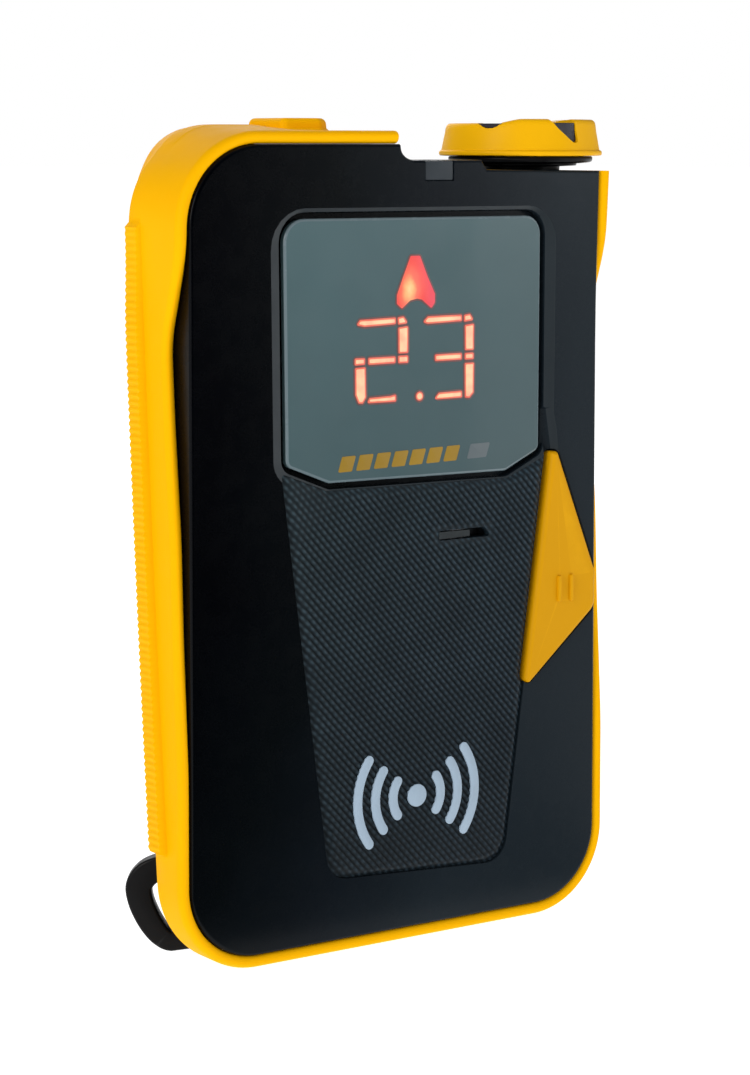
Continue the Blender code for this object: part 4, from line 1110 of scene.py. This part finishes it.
collar = turned("knob_collar_ring", ((3.9, 107.76), (5.6, 107.76), (5.66, 107.82), (5.7, 108.3), (8.0, 108.42), (8.1, 108.5), (8.12, 108.7), (9.9, 108.86), (10.25, 108.98),
                                     (10.38, 109.2), (10.4, 109.5), (10.32, 109.68), (10.2, 109.74), (2.8, 109.74), (2.7, 109.64), (2.7, 109.1), (3.9, 109.1)),
                "Z", (KNOB_X, KNOB_Y, 0), 128, hollow=True)
dress(collar, black_loop, "housing", "knob_collar", slot="cover_plastic", angle=40)


# ------------------------------------------------------------------ options button
def options_button():
    y0 = FACE_Y - 0.7
    stages = round_in(BUTTON, 8, y0, -12.0, 0.75, 7)
    stages.append((rounded(BUTTON, 8), -10.3))
    stages.reverse()
    body = stack("options_button_cap", stages)
    ribs = []
    for x in (27.05, 29.25):
        corners = ((x - 0.34, 46.1, 0.33), (x + 0.34, 46.1, 0.33), (x + 0.34, 50.0, 0.33), (x - 0.34, 50.0, 0.33))
        ribs.append(stack("t_rib", [(rounded(grow_corners(corners, g), 5), y) for g, y in
                                    ((0.0, y0 + 0.4), (0.0, y0 - 0.2), (-0.06, y0 - 0.36), (-0.18, y0 - 0.44))]))
    join(body, *ribs)
    return dress(body, button_yellow, "options_button", "options_button", slot="knob_plastic", angle=32)


button = options_button()


# ------------------------------------------------------------------ display window and its lit figures
def display_lens():
    y0 = -12.6
    stages = []
    for by, y in ((0.0, -11.65), (0.0, -12.35), (-0.1, -12.48), (-0.34, y0), (-0.5, y0)):
        stages.append((rounded(grow_corners(LENS, by), 8), y))
    body = stack("display_lens_window", stages)
    dress(body, lens_mat, "housing", "display_lens", slot="lens_plastic", angle=20)
    # the tilted rim faces take the paler rim material, a painted highlight on the bevel
    body.data.materials.append(rim_painted_highlight)
    for p in body.data.polygons:
        if 0.05 < abs(p.normal.y) < 0.98:
            p.material_index = 1
    return body


lens = display_lens()
LENS_Y = -12.6


def chip(name, points, y, thick, mat, r=0.22, rim=0.0):
    """A thin raised figure on the window, its outline anticlockwise in x and z."""
    corners = [(x, z, r) for x, z in points]
    if sum(points[i - 1][0] * p[1] - p[0] * points[i - 1][1] for i, p in enumerate(points)) < 0:
        corners.reverse()
    corners = grow_corners(corners, rim)
    obj = stack(name, [(rounded(corners, 4), y + 0.02), (rounded(corners, 4), y - thick * 0.6), (rounded(grow_corners(corners, -0.05), 4), y - thick)])
    dress(obj, mat, "housing", slot="led_plastic", angle=40, weighted=False)
    return obj


SEGMENTS = {
    "two_top": ((-7.6, 87.1), (-7.0, 87.8), (-1.0, 87.95), (-1.0, 87.05), (-6.2, 86.85)),
    "two_corner": ((-0.72, 87.95), (0.3, 88.05), (1.05, 87.1), (-0.62, 86.95)),
    "two_right": ((-0.6, 86.55), (1.08, 86.7), (1.08, 83.0), (-0.55, 83.0)),
    "two_joint": ((-0.6, 82.68), (1.08, 82.68), (1.08, 81.65), (-0.6, 81.65)),
    "two_middle": ((-5.6, 82.6), (-1.05, 82.62), (-1.05, 81.7), (-5.6, 81.65)),
    "two_mid_left": ((-7.85, 82.6), (-6.15, 82.6), (-6.15, 81.7), (-7.85, 81.65)),
    "two_left": ((-7.8, 81.3), (-6.05, 81.35), (-5.95, 77.2), (-6.5, 76.4), (-7.2, 76.45), (-7.75, 77.6)),
    "two_foot": ((-5.4, 77.1), (-2.0, 77.2), (-0.95, 77.4), (-0.95, 76.4), (-5.85, 76.4)),
    "three_top": ((3.5, 87.15), (4.4, 87.92), (10.25, 87.96), (10.25, 87.08), (4.4, 86.9)),
    "three_corner": ((10.6, 87.9), (11.65, 88.05), (12.3, 87.15), (10.6, 86.95)),
    "three_upper": ((10.75, 86.5), (12.36, 86.65), (12.32, 82.98), (10.8, 82.98)),
    "three_joint": ((10.76, 82.6), (12.32, 82.6), (12.32, 81.68), (10.76, 81.68)),
    "three_middle": ((5.6, 82.6), (10.25, 82.62), (10.25, 81.72), (5.65, 81.68)),
    "three_lower": ((10.76, 81.2), (12.4, 81.2), (12.35, 77.0), (11.65, 76.3), (10.82, 76.35)),
    "three_foot": ((6.3, 77.25), (10.3, 77.35), (10.35, 76.42), (5.4, 76.35)),
}
for key, points in SEGMENTS.items():
    chip("halo_" + key, points, LENS_Y, 0.03, led_halo, 0.3, 0.26)
    chip("rim_" + key, points, LENS_Y, 0.06, led_rim, 0.2, 0.02)
    chip("lit_" + key, points, LENS_Y, 0.09, led_core, 0.12, -0.2)
DOT = arc(3.02, 76.95, 0.6, 0, 330, 11)
chip("halo_point", DOT, LENS_Y, 0.03, led_halo, 0.05, 0.3)
chip("rim_point", DOT, LENS_Y, 0.06, led_rim, 0.05, 0.05)
chip("lit_point", DOT, LENS_Y, 0.09, led_core, 0.05, -0.15)
ARROW = ((1.45, 96.3), (3.05, 96.3), (4.25, 93.6), (5.6, 91.0), (5.6, 89.8), (5.0, 89.0), (3.4, 90.25), (2.55, 90.42),
         (1.4, 90.2), (0.0, 89.1), (-0.85, 89.8), (-0.85, 91.0), (0.3, 93.7))
chip("halo_arrow", ARROW, LENS_Y, 0.03, led_halo, 0.3, 0.25)
chip("rim_arrow", ARROW, LENS_Y, 0.06, arrow_light, 0.25, 0.0)

# plain printed marks: a row of slanted amber steps and one grey one under the figures
MARKS = {}
for k in range(7):
    x, z = -10.6 + 2.95 * k, 67.15 + 0.07 * k
    MARKS[f"mark_step_{k + 1}"] = (((x, z), (x + 2.3, z + 0.055), (x + 3.0, z + 2.2), (x + 0.7, z + 2.145)), mark_amber)
MARKS["mark_step_grey"] = (((11.2, 67.7), (14.6, 67.78), (15.3, 69.85), (11.9, 69.77)), mark_grey)
for key, (points, mat) in MARKS.items():
    chip(key, points, LENS_Y, 0.035, mat, 0.2)


# ------------------------------------------------------------------ status light window
corners = ((STATUS[0], STATUS[2], 0.3), (STATUS[1], STATUS[2], 0.3), (STATUS[1], 109.22, 0.2), (STATUS[0], 109.22, 0.2))
status = stack("status_window", [(rounded(corners, 5), -10.45), (rounded(corners, 5), -12.68), (rounded(grow_corners(corners, -0.06), 5), -12.79),
                                 (rounded(grow_corners(corners, -0.16), 5), -12.84)])
dress(status, window_dark, "housing", "status_light_window", slot="window_plastic", angle=35)


# ------------------------------------------------------------------ grip pad
def polygon_reach(px, pz, points):
    """Signed distance from (px, pz) to a polygon: positive inside."""
    best = 1e9
    inside = False
    count = len(points)
    for i in range(count):
        ax, az = points[i - 1]
        bx, bz = points[i]
        dx, dz = bx - ax, bz - az
        t = ((px - ax) * dx + (pz - az) * dz) / (dx * dx + dz * dz + 1e-12)
        t = 0.0 if t < 0 else 1.0 if t > 1 else t
        ex, ez = px - ax - dx * t, pz - az - dz * t
        d = ex * ex + ez * ez
        if d < best:
            best = d
        if (az > pz) != (bz > pz) and px < (bx - ax) * (pz - az) / (bz - az) + ax:
            inside = not inside
    return math.sqrt(best) * (1 if inside else -1)


KNURL_TURN = math.radians(47.0)
KNURL_PITCH, CROSS_PITCH = 0.80, 1.10
GRIP_Y = -13.15


def grip_pad():
    outline = rounded(GRIP, 4)
    coarse = rounded(GRIP, 2)
    hole = rounded(grow_corners(BUTTON, 0.7), 2)
    slot_box = ((SLOT[0] - 0.1, SLOT[2]), (SLOT[1] + 0.1, SLOT[2]), (SLOT[1] + 0.1, SLOT[3]), (SLOT[0] - 0.1, SLOT[3]))
    # the ridges' own grid: u across the ridges, v along them
    c, s = math.cos(KNURL_TURN), math.sin(KNURL_TURN)
    du, dv = KNURL_PITCH / 4, CROSS_PITCH / 4
    corners = [(x * s + z * c, x * c - z * s) for x, z in outline]
    u0, u1 = min(p[0] for p in corners) - 1, max(p[0] for p in corners) + 1
    v0, v1 = min(p[1] for p in corners) - 1, max(p[1] for p in corners) + 1
    ku0, ku1 = math.floor(u0 / du), math.ceil(u1 / du)
    kv0, kv1 = math.floor(v0 / dv), math.ceil(v1 / dv)
    ridge = (0.0, 0.55, 1.0, 0.55)
    cross = (0.7, 0.92, 1.0, 0.92)
    bm = bmesh.new()
    grid = {}
    for iu in range(ku0, ku1 + 1):
        u = iu * du
        for iv in range(kv0, kv1 + 1):
            v = iv * dv
            x, z = u * s + v * c, u * c - v * s
            if not (-21 < x < 26.6 and 8 < z < 68.8):
                continue
            reach = polygon_reach(x, z, coarse)
            if reach < -0.7:
                continue
            edge = reach
            if x > 19.2:
                edge = min(edge, -polygon_reach(x, z, hole))
                if edge < -0.7 and reach > 0:
                    edge = -0.7
            near_slot = -polygon_reach(x, z, slot_box)
            # a plain sloping border, wider down the left side
            border = 1.25 if x < -8 - (z - 10) * 0.11 else 0.8
            t = smoothstep((edge - border * 0.35) / (border * 0.65 + 0.25))
            drop = 0.34 * (1 - smoothstep(edge / border)) if edge > 0 else 0.34
            plain = t * smoothstep((near_slot - 0.25) / 0.5)
            # the ridges fade to the pad's upper left
            fade = 0.45 + 0.55 * smoothstep(((x + 20) * 0.8 + (68 - z)) / 16.0)
            h = ridge[iu % 4] * cross[(iv + 2 * (iu // 4)) % 4] * plain * fade
            grid[iu, iv] = bm.verts.new((x, GRIP_Y + 0.26 + drop - 0.26 * h, z))
    for (iu, iv), vert in list(grid.items()):
        quad = [grid.get(k) for k in ((iu, iv), (iu + 1, iv), (iu + 1, iv + 1), (iu, iv + 1))]
        if all(quad):
            bm.faces.new(quad)
    for vert in [v for v in bm.verts if not v.link_faces]:
        bm.verts.remove(vert)
    extruded = bmesh.ops.extrude_face_region(bm, geom=bm.faces[:])
    for v in extruded["geom"]:
        if isinstance(v, bmesh.types.BMVert):
            v.co.y = -11.2
    body = solid("grip_pad_knurled", bm, 0)
    prism = stack("t_prism", [(outline, -11.7), (outline, -16.0)])
    boolean(body, "INTERSECT", [prism])
    cut(body, stack("t_hole", [(rounded(grow_corners(BUTTON, 0.7), 5), -16.0), (rounded(grow_corners(BUTTON, 0.7), 5), -9.0)]),
        stack("t_slot", [(rounded(((SLOT[0], SLOT[2], 0.45), (SLOT[1] - 0.2, SLOT[2], 0.2), (SLOT[1] + 0.15, SLOT[2] + 0.35, 0.2), (SLOT[1] - 0.8, SLOT[3], 0.5), (SLOT[0], SLOT[3], 0.45)), 5), y) for y in (-16.0, -9.0)]))
    return dress(body, grip_dark, "housing", "grip_pad", slot="grip_rubber", angle=60, weighted=False)


grip = grip_pad()
# a smooth sloping ledge in the left half of the sound slot; the rest is open to the dark cavity
bm = bmesh.new()
loft(bm, [[(SLOT[0] + 0.05, y, z) for y, z in ((-12.98, 56.72), (-12.98, 57.72), (-11.9, 57.72), (-11.9, 56.72))],
          [(8.6, y, z) for y, z in ((-12.86, 56.74), (-12.86, 57.7), (-11.9, 57.7), (-11.9, 56.74))],
          [(11.8, y, z) for y, z in ((-12.62, 56.78), (-12.62, 57.66), (-11.9, 57.66), (-11.9, 56.78))]])
dress(solid("sound_slot_ledge", bm), grip_edge, "housing", slot="grip_rubber", angle=40)


# ------------------------------------------------------------------ a plain signal sign: a dot between two sets of arcs
def sign(name, points, y0=-12.95, y1=-13.235):
    obj = stack(name, [(points, y0), (points, y1 + 0.03), (grown(points, -0.04), y1)])
    return dress(obj, mark_pale, "housing", slot="grip_rubber", angle=50, weighted=False)


SIGN_X, SIGN_Z = 2.4, 20.7
sign("sign_dot", arc(SIGN_X, SIGN_Z, 1.6, 0, 352, 44))
for i, (radius, middle) in enumerate([(r, m) for m in (0.0, 180.0) for r in (4.1, 7.1, 10.1)]):
    w, a0, a1 = 0.72, middle - 36.0, middle + 36.0
    pts = arc(SIGN_X, SIGN_Z, radius + w, a0, a1, 40)
    end = (SIGN_X + radius * math.cos(math.radians(a1)), SIGN_Z + radius * math.sin(math.radians(a1)))
    pts += arc(end[0], end[1], w, a1 + 18, a1 + 162, 8)
    pts += arc(SIGN_X, SIGN_Z, radius - w, a1, a0, 40)
    start = (SIGN_X + radius * math.cos(math.radians(a0)), SIGN_Z + radius * math.sin(math.radians(a0)))
    pts += arc(start[0], start[1], w, a0 + 198, a0 + 342, 8)
    sign(f"sign_arc_{i + 1}", pts)


# ------------------------------------------------------------------ floor, light and camera
def floor():
    bm = bmesh.new()
    rings = [[(r * math.cos(2 * math.pi * k / 96), r * math.sin(2 * math.pi * k / 96), -0.02) for k in range(96)] for r in (60, 200, 800, 4000, 12000)]
    loft(bm, rings, caps=False)
    bm.verts.ensure_lookup_table()
    bm.faces.new([bm.verts[k] for k in range(96)])
    obj = solid("studio_floor", bm)
    s = Shader("studio_floor_pale", (0.61, 0.61, 0.61, 1.0), 0.9, specular=0.0)
    s.set("Base Color", s.ramp(s.noise(120.0), ((0.3, (0.60, 0.60, 0.60, 1)), (0.7, (0.62, 0.62, 0.62, 1)))))
    s.bsdf.inputs["Emission Color"].default_value = (1.0, 1.0, 1.0, 1.0)
    s.bsdf.inputs["Emission Strength"].default_value = 0.92
    obj.data.materials.append(s.mat)
    if obj.data.polygons[0].normal.z < 0:
        obj.data.flip_normals()
    return obj


floor()
CENTRE = Vector((1.0, -1.0, 56.0))


def light(name, at, size, watts, colour=(1.0, 1.0, 1.0), glossy=True, aim=CENTRE, size_y=None):
    data = bpy.data.lights.new(name, "AREA")
    data.energy, data.color = watts, colour
    data.shape = "RECTANGLE"
    data.size, data.size_y = size * MM, (size_y or size) * MM
    obj = bpy.data.objects.new(name, data)
    at = Vector(at)
    obj.location = at * MM
    obj.rotation_mode = "QUATERNION"
    obj.rotation_quaternion = (Vector(aim) - at).to_track_quat("-Z", "Y")
    obj.visible_camera = False
    obj.visible_glossy = glossy
    bpy.context.scene.collection.objects.link(obj)
    return obj


light("key_left", (-720, -210, 372), 340, 2.7)
light("fill_front", (-60, -700, 260), 500, 0.85, glossy=False)
light("fill_right", (560, -260, 300), 300, 0.4)
light("top_soft", (0, 40, 620), 500, 0.12)
light("back_soft", (260, 640, 420), 500, 1.8)
light("swoosh", (470, -560, 150), 120, 0.25, aim=(26, -13, 100), size_y=60)


def spot(name, at, aim, across, watts):
    """A narrow soft-edged lamp that reaches over the top of the bumper to the flank of the knob."""
    data = bpy.data.lights.new(name, "SPOT")
    at, aim = Vector(at), Vector(aim)
    data.energy, data.spot_blend, data.shadow_soft_size = watts, 0.6, 12 * MM
    data.spot_size = 2.0 * math.atan(across / 2.0 / (aim - at).length)
    obj = bpy.data.objects.new(name, data)
    obj.location = at * MM
    obj.rotation_mode = "QUATERNION"
    obj.rotation_quaternion = (aim - at).to_track_quat("-Z", "Y")
    obj.visible_glossy = False
    bpy.context.scene.collection.objects.link(obj)


spot("knob_lamp", (-420, -60, 330), (15.5, 0.5, 112.5), 26.0, 3.3)


def unseen_card(name, rings, tone):
    obj_mesh = bmesh.new()
    loft(obj_mesh, rings)
    obj = solid(name, obj_mesh)
    s = Shader(name + "_felt", tone, 0.95, specular=0.0)
    s.set("Base Color", s.ramp(s.noise(20.0), ((0.3, shade(tone, 0.9)), (0.7, shade(tone, 1.1)))))
    obj.data.materials.append(s.mat)
    obj.visible_camera = False
    obj.visible_shadow = False
    obj.visible_diffuse = False
    return obj


def flag(name, low, high, at_y, tone):
    """A dark card out of the picture that keeps white out of the face's reflection."""
    return unseen_card(name, [[(low[0], y, low[1]), (high[0], y, low[1]), (high[0], y, high[1]), (low[0], y, high[1])] for y in (at_y, at_y - 2)], tone)


def floor_card(name, points, tone):
    """The same, lying on the floor in front of the face."""
    return unseen_card(name, [[(x, y, z) for x, y in points] for z in (0.1, 0.4)], tone)


flag("flag_card", (-260, 0.5), (325, 460), -430, srgb(8, 10, 13))
floor_card("flag_card_low", ((-160, -428), (315, -428), (48, -24), (-60, -24)), srgb(8, 10, 13))

world = bpy.data.worlds.new("studio_world")
world.use_nodes = True
tree = world.node_tree
tree.nodes["Background"].inputs["Color"].default_value = (1.0, 1.0, 1.0, 1.0)
path = tree.nodes.new("ShaderNodeLightPath")
level = tree.nodes.new("ShaderNodeMapRange")
level.inputs["To Min"].default_value, level.inputs["To Max"].default_value = 0.27, 1.0
tree.links.new(path.outputs["Is Camera Ray"], level.inputs["Value"])
tree.links.new(level.outputs["Result"], tree.nodes["Background"].inputs["Strength"])
bpy.context.scene.world = world
bpy.context.scene.view_settings.view_transform = "Standard"
bpy.context.scene.view_settings.look = "None"

FOCAL, YAW, PITCH, ROLL = 2867.70, 0.60756990, 0.13752579, 0.00064144
camera = bpy.data.cameras.new("studio_camera")
camera.sensor_fit, camera.sensor_width = "AUTO", 36.0
camera.lens = 36.0 * FOCAL / 1075.0
camera.clip_start, camera.clip_end = 0.01, 60.0
ahead = Vector((math.sin(YAW) * math.cos(PITCH), math.cos(YAW) * math.cos(PITCH), -math.sin(PITCH)))
right = Vector((math.cos(YAW), -math.sin(YAW), 0.0))
up = right.cross(ahead)
right, up = right * math.cos(ROLL) + up * math.sin(ROLL), up * math.cos(ROLL) - right * math.sin(ROLL)
view = Matrix((right, up, -ahead)).transposed().to_4x4()
view.translation = Vector((-227.802, -333.837, 111.945)) * MM
rig = bpy.data.objects.new("studio_camera", camera)
rig.matrix_world = view
bpy.context.scene.collection.objects.link(rig)
bpy.context.scene.camera = rig
